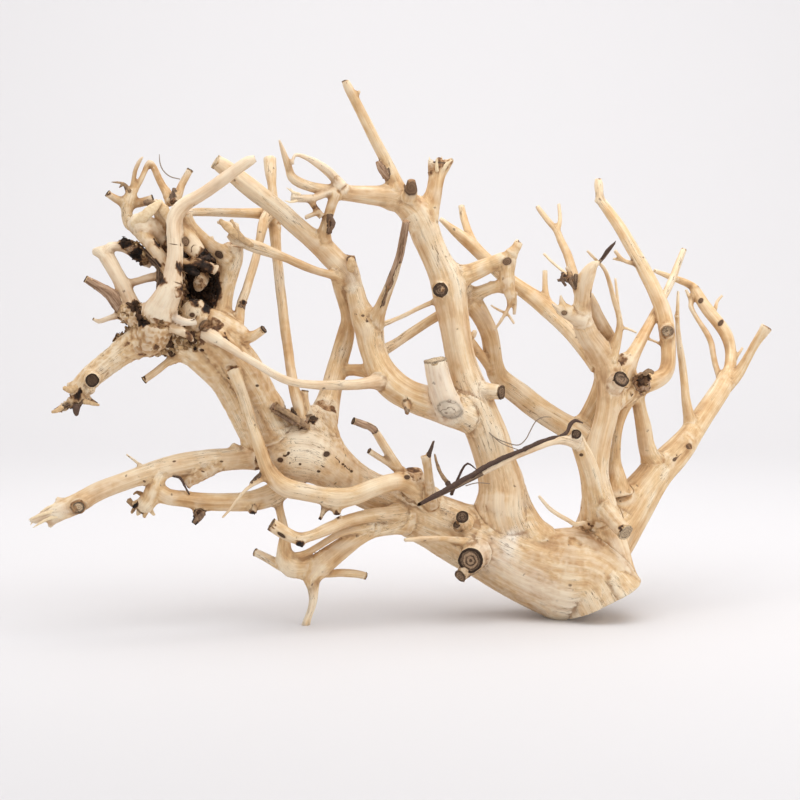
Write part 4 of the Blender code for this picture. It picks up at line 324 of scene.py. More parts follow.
# The crown at the right: front limbs, the main limb, and the limbs that spread away at the back.
CROWN = {
    "main_right_limb": [(138, -96, 18, 34), (140, -82, 16, 28), (139, -66, 14, 21), (138, -51, 13, 16.3),
     (138.5, -38, 13, 16), (141, -25, 13, 16), (144.5, -12, 13, 16), (146, 0, 13, 16.2), (146, 12, 13, 17),
     (144.5, 22, 12, 17.2), (141.5, 30, 10, 17), (136.5, 38, 6, 16.5), (131.5, 45, 2, 15.5), (128.5, 52, -1, 14.3),
     (127.2, 60, -4, 13), (127.5, 68, -7, 11.6), (128.5, 76, -10, 11.6), (129.5, 83, -12, 12), (132, 89, -14, 10.4),
     (135.5, 94.3, -16, 6.4), (139.2, 96.3, -17, 3)],
    "front_right_limb": [(139, -88, 6, 26), (137, -74, -6, 19), (134.7, -61, -15, 16), (132.5, -50.5, -22, 14.6),
     (129.5, -41, -27, 13.2), (125.7, -32, -31, 11.2), (122.3, -24.5, -34, 8.6)],
    "front_knot": [(123.5, -26, -34, 8.4), (123.5, -24, -42, 6.8)],
    "right_stub": [(140, -72, -8, 14), (146.5, -80, -15, 12.3), (152, -86.5, -20, 11.7), (157.5, -92.5, -25, 11.4)],
    "dark_stick": [(124, -31, -36, 8), (118, -28.6, -40, 6.8), (110, -28, -44, 6.2), (100, -31.3, -50, 5.2),
     (90, -35.5, -54, 4.6), (80, -40, -59, 4.2), (65, -47.5, -66, 4), (50, -55, -72, 3.8), (36, -62, -78, 3.5),
     (24, -68, -84, 3), (12, -74, -88, 1.6)],
    "back_right_strand": [(153, -66, 30, 19), (150.5, -50, 30, 12.5), (150.5, -40, 30, 8), (151.5, -30, 30, 6.5),
     (152.7, -20, 30, 6.6), (155.2, -10, 30, 7.6), (159, -1, 30, 10), (163, 8, 30, 13)],
    "second_strand": [(180, -48, 58, 17), (174.3, -38, 52, 13), (171.9, -30, 48, 11.2), (170.6, -20, 44, 10.8),
     (168.7, -10, 40, 10), (166.5, 0, 36, 9.8), (163.5, 8, 32, 12), (158, 16, 27, 15), (152, 25, 22, 16)],
    "big_bow": [(150, 0, 20, 16), (160, 7.5, 26, 15.5), (169, 10.7, 32, 14), (177, 13, 38, 12.8),
     (184, 16.7, 44, 11.2), (187.3, 23.5, 49, 10.3), (187.8, 32, 52, 10.3), (187.4, 42, 55, 10.8),
     (186.5, 52, 58, 11.2), (184.5, 61, 61, 11.2), (181.3, 70, 64, 10.8), (177.3, 79, 67, 10.3),
     (172.6, 88, 70, 9.9), (168, 97, 73, 9.3), (162.6, 106.5, 76, 9), (157, 116, 79, 8.6), (151.2, 125, 82, 8),
     (145.6, 132.7, 85, 7.3), (140.6, 139.5, 87, 6.4), (139.6, 145, 88, 5.6), (139, 150, 89, 6.4),
     (138.7, 154.5, 90, 4.8)],
    "big_bow_nub": [(140, 138.6, 87, 4.4), (136.3, 139.7, 87, 2)],
    "big_bow_knot": [(187, 48, 56, 10.5), (187, 48, 49, 9)],
    "bark_knob": [(169, 9, 26, 11), (169.5, 13.5, 18, 11), (170, 15.5, 13, 9)],
    "low_knob": [(160, 2, 28, 7), (160.5, 4.5, 19, 5)],
    "limb_end_knob": [(150, 10, 8, 13), (154.5, 14.3, 0, 11)],
    "bow_twig": [(167, 95, 74, 4), (158, 97, 72, 3), (153.5, 100.5, 70, 2.8), (150.5, 104.5, 68, 2.6)],
    "bow_twig_low": [(161, 96.4, 73, 2), (149, 99, 70, 1.5)],
    "hidden_prop": [(122, -24, 38, 14), (131, -13, 42, 13), (137.5, 0, 40, 13), (142, 13, 30, 13),
     (143, 24, 18, 12)],
    "third_limb": [(151, 12, 18, 16), (155, 19, 21, 15.5), (159.5, 26, 25, 13.3), (164.3, 34, 32, 9.6),
     (169, 42.5, 44, 8.2), (173.5, 51, 56, 7.2), (178, 60, 70, 6.4), (183, 69.5, 82, 5.8), (187.5, 78, 92, 5.4),
     (191.3, 86, 100, 5.2), (194.5, 95, 108, 4.8), (198.6, 105, 116, 4.3)],
    "third_limb_twig": [(169, 43.7, 45, 2.4), (176, 42, 52, 1.7), (184, 38.3, 56, 1.6)],
    "right_edge_twig": [(146, 27, 10, 13), (149.3, 36, 8, 9.5), (152.3, 44, 5, 6.2), (153.9, 52, 3, 4.7),
     (153, 60, 1, 4.1), (150.8, 67, -1, 3.9), (148.5, 75, -3, 3.4), (146.4, 83, -5, 3.1), (144, 90, -7, 2.7),
     (140, 95.5, -9, 2.3), (136, 99.3, -11, 2.1), (131, 104.5, -13, 1.9)],
    "parallel_twig": [(153, 59, 1, 3), (152.3, 70, 2, 2.4), (151.5, 78, 3, 2), (150.7, 85.3, 4, 1.5)],
    "stray_twig": [(152.5, 51, 3, 2.4), (159, 50, 3, 1.8), (165.8, 47, 3, 1.5)],
    "black_tip": [(138.5, 95.5, -13, 2.6), (142.5, 100, -14, 2.7), (145.5, 104.3, -16, 3.1), (150.7, 110, -18, 1)],
    "black_stub": [(149, 38, 14, 9), (146, 45.5, 12, 8.6), (141.2, 53, 9, 9.4), (137.8, 60, 6, 8.6),
     (135.6, 67, 4, 6.6), (133.6, 75, 3, 2.4)],
    "broken_stub": [(128, 56, -4, 14), (120, 59.5, -8, 9.5), (113.5, 61.7, -10, 6), (106.3, 67.3, -12, 1.4)],
    "broken_stub_top": [(119, 62, -9, 9), (114, 66.5, -10, 5.4), (112.4, 73.5, -11, 1.1)],
    "left_bark_tips": [(126, 79, -10, 8), (120, 83, -13, 4.6), (115, 86, -14, 4), (113.8, 89.4, -14, 2.6)],
    "left_bark_low": [(117, 84.5, -13, 3.8), (110, 83.7, -15, 2)],
    "left_bark_up": [(121, 82, -12, 5), (119, 88.5, -10, 3.7), (116.8, 93, -9, 2.6)],
    "left_bark_peg": [(122, 80, -13, 4), (123.2, 88.3, -15, 2.6)],
    "left_thin_twig": [(119, 86, -9, 3), (113, 91, 0, 2.2), (107, 96, 8, 2), (100.6, 102.4, 16, 1.9)],
    "back_left_limb": [(28, 127, 67, 3), (35, 121, 68, 5.2), (42, 115.3, 69, 7.7), (50, 108.5, 70, 9),
     (57, 101.5, 70, 9), (66, 93, 71, 9.5), (75, 85, 72, 10), (83, 79.3, 71, 10), (90, 74.3, 68, 11),
     (97, 69.3, 62, 12.4), (104, 63.3, 56, 13), (111, 57, 48, 13), (118, 50, 38, 12.6), (125, 42.5, 28, 12.8),
     (132, 34, 20, 13.5), (140, 24, 14, 15)],
    "back_left_twig": [(51, 110, 70, 6.5), (47, 120, 76, 5.4), (44.5, 128, 82, 5.1), (43, 135.6, 87, 4.6)],
    "back_middle_twig": [(104, 64, 56, 8), (102, 74, 60, 4.8), (101.5, 82, 62, 3.8), (101.5, 90.6, 64, 3.5)],
    "far_twig": [(127, 72, -4, 9), (121.3, 88, 6, 6.8), (117.5, 101, 16, 6), (113, 111, 26, 5.4),
     (109, 119.5, 34, 4.8), (105, 124, 38, 4.2), (100.5, 129.5, 43, 3.9), (96.3, 135.2, 48, 3.3)],
    "far_twig_fork": [(110, 117.5, 32, 4), (112, 126, 37, 2.9), (111.2, 137, 43, 2.3)],
    "far_right_limb": [(134, -112, 22, 40), (146, -97, 30, 36), (157, -82, 38, 31), (168, -65.5, 48, 27.5),
     (180, -50.5, 60, 23.5), (190, -40, 72, 20.5), (199, -29.7, 84, 17.8), (206.5, -19.3, 95, 15.8),
     (213.5, -9.3, 106, 14.6), (220.5, 1, 117, 13.9), (226.5, 10.5, 127, 12.8), (230.5, 20, 136, 9.8),
     (231.5, 29, 144, 8), (231, 37.5, 150, 8), (228.5, 45.5, 154, 8.7), (223.5, 53, 158, 8.7),
     (217.5, 60.5, 162, 8.5), (212, 68, 166, 8.1), (208, 75, 170, 7), (204, 80, 173, 5.6), (197, 83.4, 172, 4.9),
     (188, 86.6, 168, 4.1), (178, 90.6, 162, 2.7)],
    "far_right_knot": [(200, -30, 78, 12), (202.5, -32, 72, 4.6)],
    "end_branch": [(226, 8, 126, 11), (235, 16.5, 130, 8.7), (241, 25.5, 130, 6.8), (246, 34.5, 128, 6),
     (250.5, 42, 126, 6.2), (254.3, 47.3, 124, 7.6), (256.7, 51, 123, 8.4)],
    "inner_branch": [(223, 6, 124, 8), (223.6, 15, 132, 4.9), (221, 24, 140, 4.2), (219.3, 32, 146, 4),
     (217.8, 40, 152, 4.2), (214.5, 47, 156, 4), (210, 54, 160, 3.4), (206, 60.5, 164, 3.2), (203.6, 66, 167, 3.6),
     (204.8, 72, 170, 4.2), (207.5, 77.5, 171, 5)],
    "inner_flake": [(203.6, 70, 170, 3), (200, 77.5, 170, 2)],
    "slender_limb": [(205, -22, 90, 11), (202, -10, 92, 8), (200.2, 0, 94, 6.4), (199.3, 9, 96, 5.6),
     (198.3, 19, 98, 5.3), (197.3, 28, 98, 5.1), (195.8, 37, 96, 4.6), (194.8, 46, 94, 3.6), (194.2, 55, 92, 3),
     (194.3, 62, 91, 2.8), (194.7, 76.3, 90, 1.8)],
    "slender_nub": [(194.3, 57, 92, 3.4), (193.2, 59.5, 90, 3)],
    "tip_twig": [(218.5, 59, 163, 4.4), (221, 65, 166, 2.8), (222, 69, 168, 2.2), (225.7, 73.2, 170, 1.8)],
    "end_twig": [(233.5, 27, 145, 3.6), (236.5, 31.5, 146, 2.3), (240, 36.7, 147, 1.8)],
    "round_nub": [(195.5, 84.5, 166, 3.8), (199.2, 88, 156, 4.4)],
}

# Low stubs and twigs about the trunk, and the two root tips that it stands on.
LOW = {
    "front_foot_branch": [(8, -80, -2, 26), (-6, -86, -10, 17), (-19, -90.3, -17, 12.8), (-30, -96, -22, 13),
     (-40, -103, -24, 14), (-50, -110.5, -24, 15.5), (-58, -117.5, -24, 17), (-61.5, -125, -24, 12.4),
     (-60.8, -132, -24, 8.2), (-60.8, -140, -25, 6), (-62.3, -147, -25, 5.1), (-64.5, -152.7, -25, 5),
     (-66.4, -158.8, -25, 6)],
    "front_foot_hub": [(-54, -113, -24, 14), (-66, -117, -24, 13.5), (-75.5, -116.5, -24, 15.5),
     (-80, -111, -24, 13), (-81, -104, -24, 9.8), (-80.7, -96, -24, 7.3), (-81.7, -88, -24, 6.2),
     (-84, -78, -23, 5.8), (-86, -70, -22, 7), (-87.5, -62, -22, 9)],
    "front_foot_left": [(-78, -116, -24, 12), (-86, -114.3, -20, 7.2), (-93, -110.6, -16, 5.9),
     (-100.7, -106.9, -12, 5.4)],
    "front_foot_second": [(-20, -88, -22, 10), (-32, -90.3, -28, 6.4), (-42, -93.4, -30, 5.1),
     (-50, -97.9, -30, 4.8), (-58, -102.9, -29, 4.8), (-66, -107.5, -27, 5), (-75, -110.5, -25, 7)],
    "front_foot_right": [(-58, -119, -23, 9), (-50, -121.3, -18, 6), (-40, -121, -13, 5.7), (-31, -121.7, -8, 5.7),
     (-24.7, -123, -5, 5.1)],
    "rear_foot_branch": [(112, -112, 20, 30), (106, -114.5, 43, 20), (102, -117.5, 65, 15.5), (99, -120.5, 85, 12.5),
     (97, -123.8, 103, 10.5), (95.8, -127, 117, 9), (95, -131.3, 130, 7.6)],
    "rear_foot_spur": [(101, -117, 69, 9), (110, -118, 83, 6), (118, -116.5, 93, 4.5), (125, -113, 101, 3)],
    "rear_foot_fork": [(98, -121, 91, 7), (90, -120, 103, 5.2), (82, -121, 111, 4), (76, -123.5, 117, 3)],
    "light_twig": [(6, -62, -14, 9), (-2, -47, -25, 6.9), (-10, -34, -34, 6.1), (-18.5, -20.5, -40, 5.3),
     (-25, -17.5, -43, 5.4), (-32.3, -14.8, -46, 5)],
    "light_twig_fork": [(1, -51, -23, 6), (-8, -44.3, -30, 4.3), (-15, -40, -33, 4.1), (-21.3, -35.8, -36, 4)],
    "lump": [(11, -64, -9, 20), (8, -52.5, -19, 16.5)],
    "upright_twig": [(22, -74, -12, 10), (21, -60, -26, 6.7), (19.5, -48, -30, 6.2), (18, -39, -32, 7.4)],
    "upright_twig_tip": [(19.3, -41, -32, 3.4), (21.5, -35, -33, 2.8), (23.6, -28.7, -35, 1.6)],
    "brown_sprig": [(34, -68, -14, 6), (30, -54, -26, 3), (26.3, -46, -29, 2.7), (24.9, -37.7, -31, 2.2)],
    "brown_sprig_fork": [(29.3, -52.5, -26, 2.6), (31.2, -46.7, -30, 2)],
    "hair_sprig": [(36, -66, -16, 3.6), (41, -52, -29, 2.3), (46, -45, -34, 1.7)],
    "flat_twig": [(50, -100, -12, 8), (38, -98, -25, 4.7), (28, -97.2, -30, 4.2), (18, -97, -35, 3.8),
     (10, -97.5, -38, 3.4), (3, -98, -40, 2.4)],
    "ringed_stub": [(58, -103, 0, 22), (51.5, -109, -19, 17.8), (49.5, -112, -30, 17)],
    "small_stub": [(52, -114, -13, 13), (45, -120.5, -25, 9.6), (42.5, -122.8, -28, 8.6)],
    "dark_oval": [(46, -88, -6, 13), (43.7, -82, -21, 8.4)],
    "dark_oval_nub": [(42, -90, -11, 8), (39.8, -87.3, -20, 4.6)],
    "curved_twig": [(134, -90, 2, 8), (128, -86.3, -14, 3.6), (123, -87.2, -20, 3.3), (118, -84.3, -24, 3.2),
     (112, -81, -28, 3.1), (106, -77, -32, 3), (102, -73, -35, 2.7), (97, -67, -38, 1.9)],
    "front_thin_twig": [(-88, -52, -43, 9), (-95, -55, -47, 3.8), (-101, -58.3, -49, 2.8), (-107, -62, -51, 2.4),
     (-113, -68.5, -53, 2.1), (-119, -76.5, -55, 1.9), (-124.5, -82.5, -57, 1.5)],
    "front_bark_sliver": [(-97, -52.5, -46, 4.4), (-101, -55, -48, 3.2), (-105, -58.7, -49, 1.6)],
}


# Rough growth about the foot of the white branch.
BURR = {
    "branch_foot": [(-179, 36, -56, 14), (-174.5, 42, -61, 20), (-172, 49, -64, 22.6), (-171, 54, -66, 21.5)],
}
REGIONS = (BODY, HEAD, RODS, CENTRE, CROWN, LOW, BURR)

# How limbs' surfaces differ from clean peeled wood: bark left on, brown stain, bleached white, roughness, grain
# tangled into burl and black painted shade in and about the head's hollow, where what is left out is 0, then the
# limbs that it goes for.
FINISHES = (
    (1, 1, 0, 0.25, "brown_twig"),
    (1, 0.78, 0, 1, 0.6, "bark_lump"),
    (1, 0.6, 0, 0.4, "hub_bark_peg"),
    (0.95, 1, 0, 0.05, "brown_sprig brown_sprig_fork"),
    (0.95, 0.85, 0, 0.4, "bark_knob up_twig_bark"),
    (0.95, 0.6, 0, 0.4, "dark_brace snout_peg bridge_bark"),
    (0.95, 0.6, 0, 0.2, "right_knob_peg behind_rod_flap rung_peg twig_bark dark_peg "
     "black_tip left_bark_tips left_bark_low front_bark_sliver"),
    (0.95, 0.6, 0, 0.05, "left_bark_peg upright_twig_tip"),
    (0.95, 0.45, 0, 0.4, "lower_limb_knob"),
    (0.9, 1, 0, 0.5, "hub_bark"),
    (0.45, 0.6, 0, 0.4, 0.2, "small_stub"),
    (0.45, 0.6, 0, 0.4, "drip"),
    (0.45, 0.6, 0, 0.2, "left_bark_up low_knob dark_oval_nub"),
    (0.45, 0.6, 0, 0.05, "second_limb_peg"),
    (0.45, 0.45, 0, 0.7, 0.2, "snout_tip"),
    (0.45, 0.45, 0, 0.4, "snout_flare"),
    (0.45, 0.45, 0, 0.2, "lower_limb_nub under_limb_nub"),
    (0.45, 0.45, 0, 0.05, "up_twig_burr"),
    (0.25, 0.85, 0, 0.2, "brown_peg bridge_branch"),
    (0.25, 0.85, 0, 0.05, "bridge_branch_end"),
    (0.25, 0.45, 0.3, 0.2, "left_arm_lower_splinter"),
    (0.25, 0.45, 0, 0.4, 0.6, "head_arch_rim head_link"),
    (0.25, 0.45, 0, 0.4, "snout_burr drip_right arm_link_burr"),
    (0.25, 0.45, 0, 0.2, 0.6, "upper_lobe"),
    (0, 0.45, 0, 0.05, "black_stub"),
    (0.25, 0.45, 0, 0.05, "under_limb_peg"),
    (0.15, 0.4, 0, 1.2, 0.8, "rough_mass"),
    (0.15, 0.5, 0, 0.55, 0.8, 0.08, "branch_foot"),
    (0.1, 0.45, 0, 0.4, 0.6, "inner_plate"),
    (0.1, 0.45, 0, 0.4, "torn_web"),
    (0.1, 0.45, 0, 0.2, "finger upright_twig"),
    (0.1, 0.45, 0, 0.05, "twig_left tan_twig inner_branch"),
    (0.1, 0.3, 0, 1, 0.8, "rough_mass_top"),
    (0.1, 0.3, 0, 0.05, "bridge_twig light_twig far_twig"),
    (0.1, 0.2, 0.3, 0.4, 0.6, "limb_end_knob"),
    (0.05, 0.3, 0.1, 0.8, 0.6, "cluster_node"),
    (0, 0.8, 0, 0.7, 1, 0.85, "head_back"),
    (0, 0.6, 0, 0.8, 1, 0.45, "head_back_left"),
    (0, 0.6, 0, 0.4, 0.4, 0.35, "hollow_tongue"),
    (0, 0.45, 0.3, 0.05, "left_tip"),
    (0, 0.45, 0, 0.2, "gnarled_shoulder splinter_mid"),
    (0, 0.45, 0, 0.05, "gnarled_spur dark_strip gnarl_sliver light_twig_fork"),
    (0, 0.3, 0.3, 0.05, "rung"),
    (0, 0.3, 0, 0.2, 0.6, "tan_lobe"),
    (0, 0.3, 0, 0.2, "splinter_left splinter_right"),
    (0, 0.3, 0, 0.05, 0.2, "head_inner_curl"),
    (0, 0.3, 0, 0.05, "hub_peg twig_tall thin_peg gnarled_branch hair_sprig ringed_stub front_thin_twig"),
    (0, 0.25, 0.2, 0.15, "lower_finger"),
    (0, 0.2, 0.3, 0.2, "left_arm_end_knob"),
    (0, 0.2, 0.3, 0.05, "split_end"),
    (0, 0.2, 0, 0.4, "snout"),
    (0, 0.2, 0, 0.2, 0.6, "head_dome"),
    (0, 0.2, 0, 0.2, 0.2, "head_top_arch far_knob"),
    (0, 0.2, 0, 0.2, "torn_web_edge twig_stem gnarl"),
    (0, 0.2, 0, 0.12, 0.1, "head_right_wall"),
    (0, 0.2, 0, 0.05, "behind_rod tall_rod cross_rod splintered_fork slender_limb"),
    (0, 0.1, 0.4, 0.05, "curl_twig"),
    (0, 0.1, 0.3, 0.2, 0.6, "pale_knob"),
    (0, 0.1, 0.3, 0.05, "white_loop pale_knob_arm broken_stub"),
    (0, 0.1, 0.1, 0.2, 0.6, "lump"),
    (0, 0.1, 0.1, 0.2, "right_stub"),
    (0, 0.1, 0.1, 0.05, "left_arm central_limb"),
    (0, 0.28, 0, 0.2, 0.8, "hub_top hub_crown hub_right"),
    (0, 0.1, 0, 0.2, 0.2, "big_limb big_limb_edge right_knob_branch"),
    (0, 0.1, 0, 0.05, "trunk_sweep central_back_strand lower_left_limb front_stub strand up_twig "
     "side_stub back_bow curved_twig end_branch"),
    (0, 0, 0.8, 0.2, 0.2, "hollow_rim"),
    (0, 0, 0.7, 0.1, "cut_block"),
    (0, 0, 0.4, 0.2, 0.2, "white_branch_knot"),
    (0, 0, 0.4, 0.2, "white_loop_top"),
    (0, 0, 0.4, 0.05, "white_branch"),
    (0, 0, 0.3, 0.05, "thin_arm dark_stick"),
    (0, 0.12, 0.05, 0.12, "trunk"),
    (0, 0, 0.1, 0.05, "thick_limb main_right_limb"),
    (0, 0, 0, 0.05, "second_limb"),
)


def linear(code):
    """An sRGB hex colour as the linear RGBA that shader sockets hold."""
    parts = [int(code[i:i + 2], 16) / 255 for i in (1, 3, 5)]
    return [p / 12.92 if p <= 0.04045 else ((p + 0.055) / 1.055) ** 2.4 for p in parts] + [1.0]


def placed(route):
    """True places and radii, in millimetres, of route points: perspective from the viewer's eye, then the tilt."""
    depth = route[:, 2] - FOOT[2]
    grow = (VIEW_DISTANCE + depth) / VIEW_DISTANCE
    rise = route[:, 1] * grow - FOOT[1]
    x = route[:, 0] * grow - FOOT[0]
    y = rise * math.sin(VIEW_TILT) + depth * math.cos(VIEW_TILT)
    z = rise * math.cos(VIEW_TILT) - depth * math.sin(VIEW_TILT)
    return np.stack([x, y, z], 1), route[:, 3] * grow * 0.5


def across_up(points):
    """Where points in millimetres lie across and up in the routes' upright sheet: placed() turned round."""
    depth = points[:, 1] * math.cos(VIEW_TILT) - points[:, 2] * math.sin(VIEW_TILT)
    rise = points[:, 1] * math.sin(VIEW_TILT) + points[:, 2] * math.cos(VIEW_TILT)
    grow = (VIEW_DISTANCE + depth) / VIEW_DISTANCE
    return (points[:, 0] + FOOT[0]) / grow, (rise + FOOT[1]) / grow


def smooth_route(points, step=3.0):
    """A Catmull-Rom curve through the route's points, sampled every few millimetres."""
    knots = np.array(points, dtype=float)
    knots = np.vstack([2 * knots[0] - knots[1], knots, 2 * knots[-1] - knots[-2]])
    rows = []
    for i in range(1, len(knots) - 2):
        p0, p1, p2, p3 = knots[i - 1:i + 3]
        count = max(2, int(np.linalg.norm((p2 - p1)[:3]) / step))
        t = (np.arange(count) / count)[:, None]
        rows.append(0.5 * (2 * p1 + (p2 - p0) * t + (2 * p0 - 5 * p1 + 4 * p2 - p3) * t ** 2
                           + (3 * p1 - p0 - 3 * p2 + p3) * t ** 3))
    rows.append(knots[-2:-1])
    return np.vstack(rows)


def unit(vectors):
    """Vectors at length one."""
    return vectors / np.maximum(np.linalg.norm(vectors, axis=-1, keepdims=True), 1e-9)


def carried_frame(path):
    """Tangent, normal and side along a path. The normal leans on the one direction that the path runs along least."""
    tangent = unit(np.gradient(path, axis=0))
    spread = np.linalg.svd(tangent)[2]
    normal = unit(spread[2] - (tangent @ spread[2])[:, None] * tangent)
    return tangent, normal, np.cross(tangent, normal)


def tube_grid(path, radius, normal, side, tangent, sides, cap=0.12, flat=1.0):
    """A closed limb: point(u, v) = path(u) + radius(u) * (flat * cos v * normal(u) + sin v * side(u)).
    One pole a little beyond each end closes it. Returns points, quads and end triangles, facing out."""
    turn = np.arange(sides) / sides * 2 * np.pi
    ring = flat * np.cos(turn)[None, :, None] * normal[:, None] + np.sin(turn)[None, :, None] * side[:, None]
    grid = path[:, None] + radius[:, None, None] * ring
    n = len(path)
    poles = np.stack([path[0] - tangent[0] * radius[0] * cap, path[-1] + tangent[-1] * radius[-1] * cap])
    index = np.arange(n * sides).reshape(n, sides)
    after = np.roll(index, -1, axis=1)
    quads = np.stack([index[:-1], after[:-1], after[1:], index[1:]], -1).reshape(-1, 4)
    low = np.stack([np.full(sides, n * sides), after[0], index[0]], -1)
    high = np.stack([np.full(sides, n * sides + 1), index[-1], after[-1]], -1)
    return np.vstack([grid.reshape(-1, 3), poles]), quads, np.vstack([low, high])


def set_mesh(piece, mesh):
    """Gives a piece another mesh and drops the one it had."""
    spent, piece.data = piece.data, mesh
    bpy.data.meshes.remove(spent)


def settle(piece):
    """Puts a piece's modifiers into its mesh."""
    bpy.context.view_layer.update()
    graph = bpy.context.evaluated_depsgraph_get()
    mesh = bpy.data.meshes.new_from_object(piece.evaluated_get(graph))
    piece.modifiers.clear()
    set_mesh(piece, mesh)


def vertex_array(mesh, what="co"):
    """A vertex property as an array of rows of three."""
    values = np.empty(len(mesh.vertices) * 3, np.float32)
    mesh.vertices.foreach_get(what, values)
    return values.reshape(-1, 3).astype(float)


def in_box(points, bottom=BOX_MARGIN):
    """Points in millimetres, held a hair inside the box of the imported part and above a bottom."""
    low, high = np.array(cad_box) * METRE
    return np.clip(points, np.r_[low[:2] + BOX_MARGIN, bottom], high - BOX_MARGIN)


def lattice_noise(p, seed):
    """Smooth random values from -1 to 1: values on a unit lattice, blended by a quintic ease. The large odd numbers
    stir each corner's place and the seed into a value of its own."""
    cell = np.floor(p).astype(np.int64)
    part = p - cell
    ease = part ** 3 * (part * (part * 6 - 15) + 10)
    total = np.zeros(len(p))
    for corner in range(8):
        bit = np.array([corner & 1, corner >> 1 & 1, corner >> 2 & 1])
        c = cell + bit
        h = (c[:, 0] * 374761393 + c[:, 1] * 668265263 + c[:, 2] * 2147483647 + seed * 974634777) & 0xFFFFFFFF
        h = ((h ^ h >> 13) * 1274126177) & 0xFFFFFFFF
        value = ((h ^ h >> 16) & 0xFFFF) / 32767.5 - 1
        total += value * np.prod(np.where(bit, ease, 1 - ease), axis=1)
    return total


def ramp(x, low, high):
    """0 below low, 1 above high, with a smooth rise between."""
    t = np.clip((x - low) / (high - low), 0, 1)
    return t * t * (3 - 2 * t)


Straight = namedtuple("Straight", "x y along turns radius off tangent")


class Wood:
    """Every limb's centre line as arrays, with its frame, radius, length along it and the limb that it belongs to."""

    LEAST_RADIUS = 0.35
    LIMB_STEP = 10000.0             # longer than any limb
    BLOCK = 3000                    # points that are compared with the limbs at once
    SLIDES, SLIDE_SHARE = 5, 0.75

    def __init__(self):
        rows = {key: [] for key in "centre radius tangent normal side along turns limb finish".split()}
        self.names = []
        finishes = {name: values for *values, names in FINISHES for name in names.split()}
        for region in REGIONS:
            for name, points in region.items():
                centre, radius = placed(smooth_route(points))
                radius = np.maximum(radius, self.LEAST_RADIUS)
                tangent, normal, side = carried_frame(centre)
                steps = np.r_[0, np.linalg.norm(np.diff(centre, axis=0), axis=1)]
                limb = len(self.names)
                finish = np.tile((finishes.get(name, []) + 6 * [0])[:6], (len(centre), 1))
                values = (centre, radius, tangent, normal, side, np.cumsum(steps), np.cumsum(steps / radius),
                          np.full(len(centre), limb), finish)
                for key, value in zip(rows, values):
                    rows[key].append(value)
                self.names.append(name)
        for key, parts in rows.items():
            setattr(self, key, np.concatenate(parts))
        # The key is one number for a place on any limb.
        self.key = self.limb * self.LIMB_STEP + self.along
        limbs = np.arange(len(self.names))
        self.start = np.searchsorted(self.limb, limbs)
        self.stop = np.searchsorted(self.limb, limbs, side="right") - 1

    def nearest(self, points, reach=36.0):
        """For each point: the row of the limb whose skin is nearest, the row of the next limb, and the gap to that
        one's skin, up to the reach. The distance to a skin is the distance to the centre line less the radius there.
        Points are sorted by x and taken in blocks, and each block meets only the rows within its reach."""
        order = np.argsort(points[:, 0])
        first = np.zeros(len(points), int)
        second = np.zeros(len(points), int)
        gap = np.full(len(points), reach)
        x = self.centre[:, 0]
        for start in range(0, len(points), self.BLOCK):
            rows = order[start:start + self.BLOCK]
            block = points[rows]
            near = np.flatnonzero((x > block[0, 0] - reach) & (x < block[-1, 0] + reach))
            centre = self.centre[near]
            square = (block ** 2).sum(1)[:, None] + (centre ** 2).sum(1)[None] - 2 * block @ centre.T
            skin = (np.sqrt(np.maximum(square, 0)) - self.radius[near]).astype(np.float32)
            one = skin.argmin(1)
            skin[self.limb[near][None, :] == self.limb[near][one][:, None]] = reach
            two = skin.argmin(1)
            first[rows] = near[one]
            second[rows] = near[two]
            gap[rows] = skin[np.arange(len(rows)), two]
        return first, second, gap

    def straightened(self, points, first):
        """Each point's place on its limb as if the limb were pulled straight: two offsets from the centre line, the
        length along it, the length in radii, the true radius there, then the whole offset and the tangent. The place
        on the centre line is slid until the point lies square off it."""
        limb = self.limb[first]
        low = self.start[limb]
        high = self.stop[limb]
        place = self.key[first]
        for _ in range(self.SLIDES):
            at = np.clip(np.searchsorted(self.key, place, side="right") - 1, low, high)
            after = np.minimum(at + 1, high)
            t = np.clip((place - self.key[at]) / np.maximum(self.key[after] - self.key[at], 1e-9), 0, 1)[:, None]
            foot = self.centre[at] * (1 - t) + self.centre[after] * t
            tangent = unit(self.tangent[at] * (1 - t) + self.tangent[after] * t)
            off = points - foot
            beyond = (off * tangent).sum(1)
            place = np.clip(place + self.SLIDE_SHARE * beyond, self.key[low], self.key[high])
        normal = unit(self.normal[at] * (1 - t) + self.normal[after] * t)
        side = unit(self.side[at] * (1 - t) + self.side[after] * t)
        t = t[:, 0]
        turns = self.turns[at] * (1 - t) + self.turns[after] * t
        radius = self.radius[at] * (1 - t) + self.radius[after] * t
        along = place - self.key[low] + beyond
        return Straight((off * normal).sum(1), (off * side).sum(1), along, turns, radius, off, tangent)
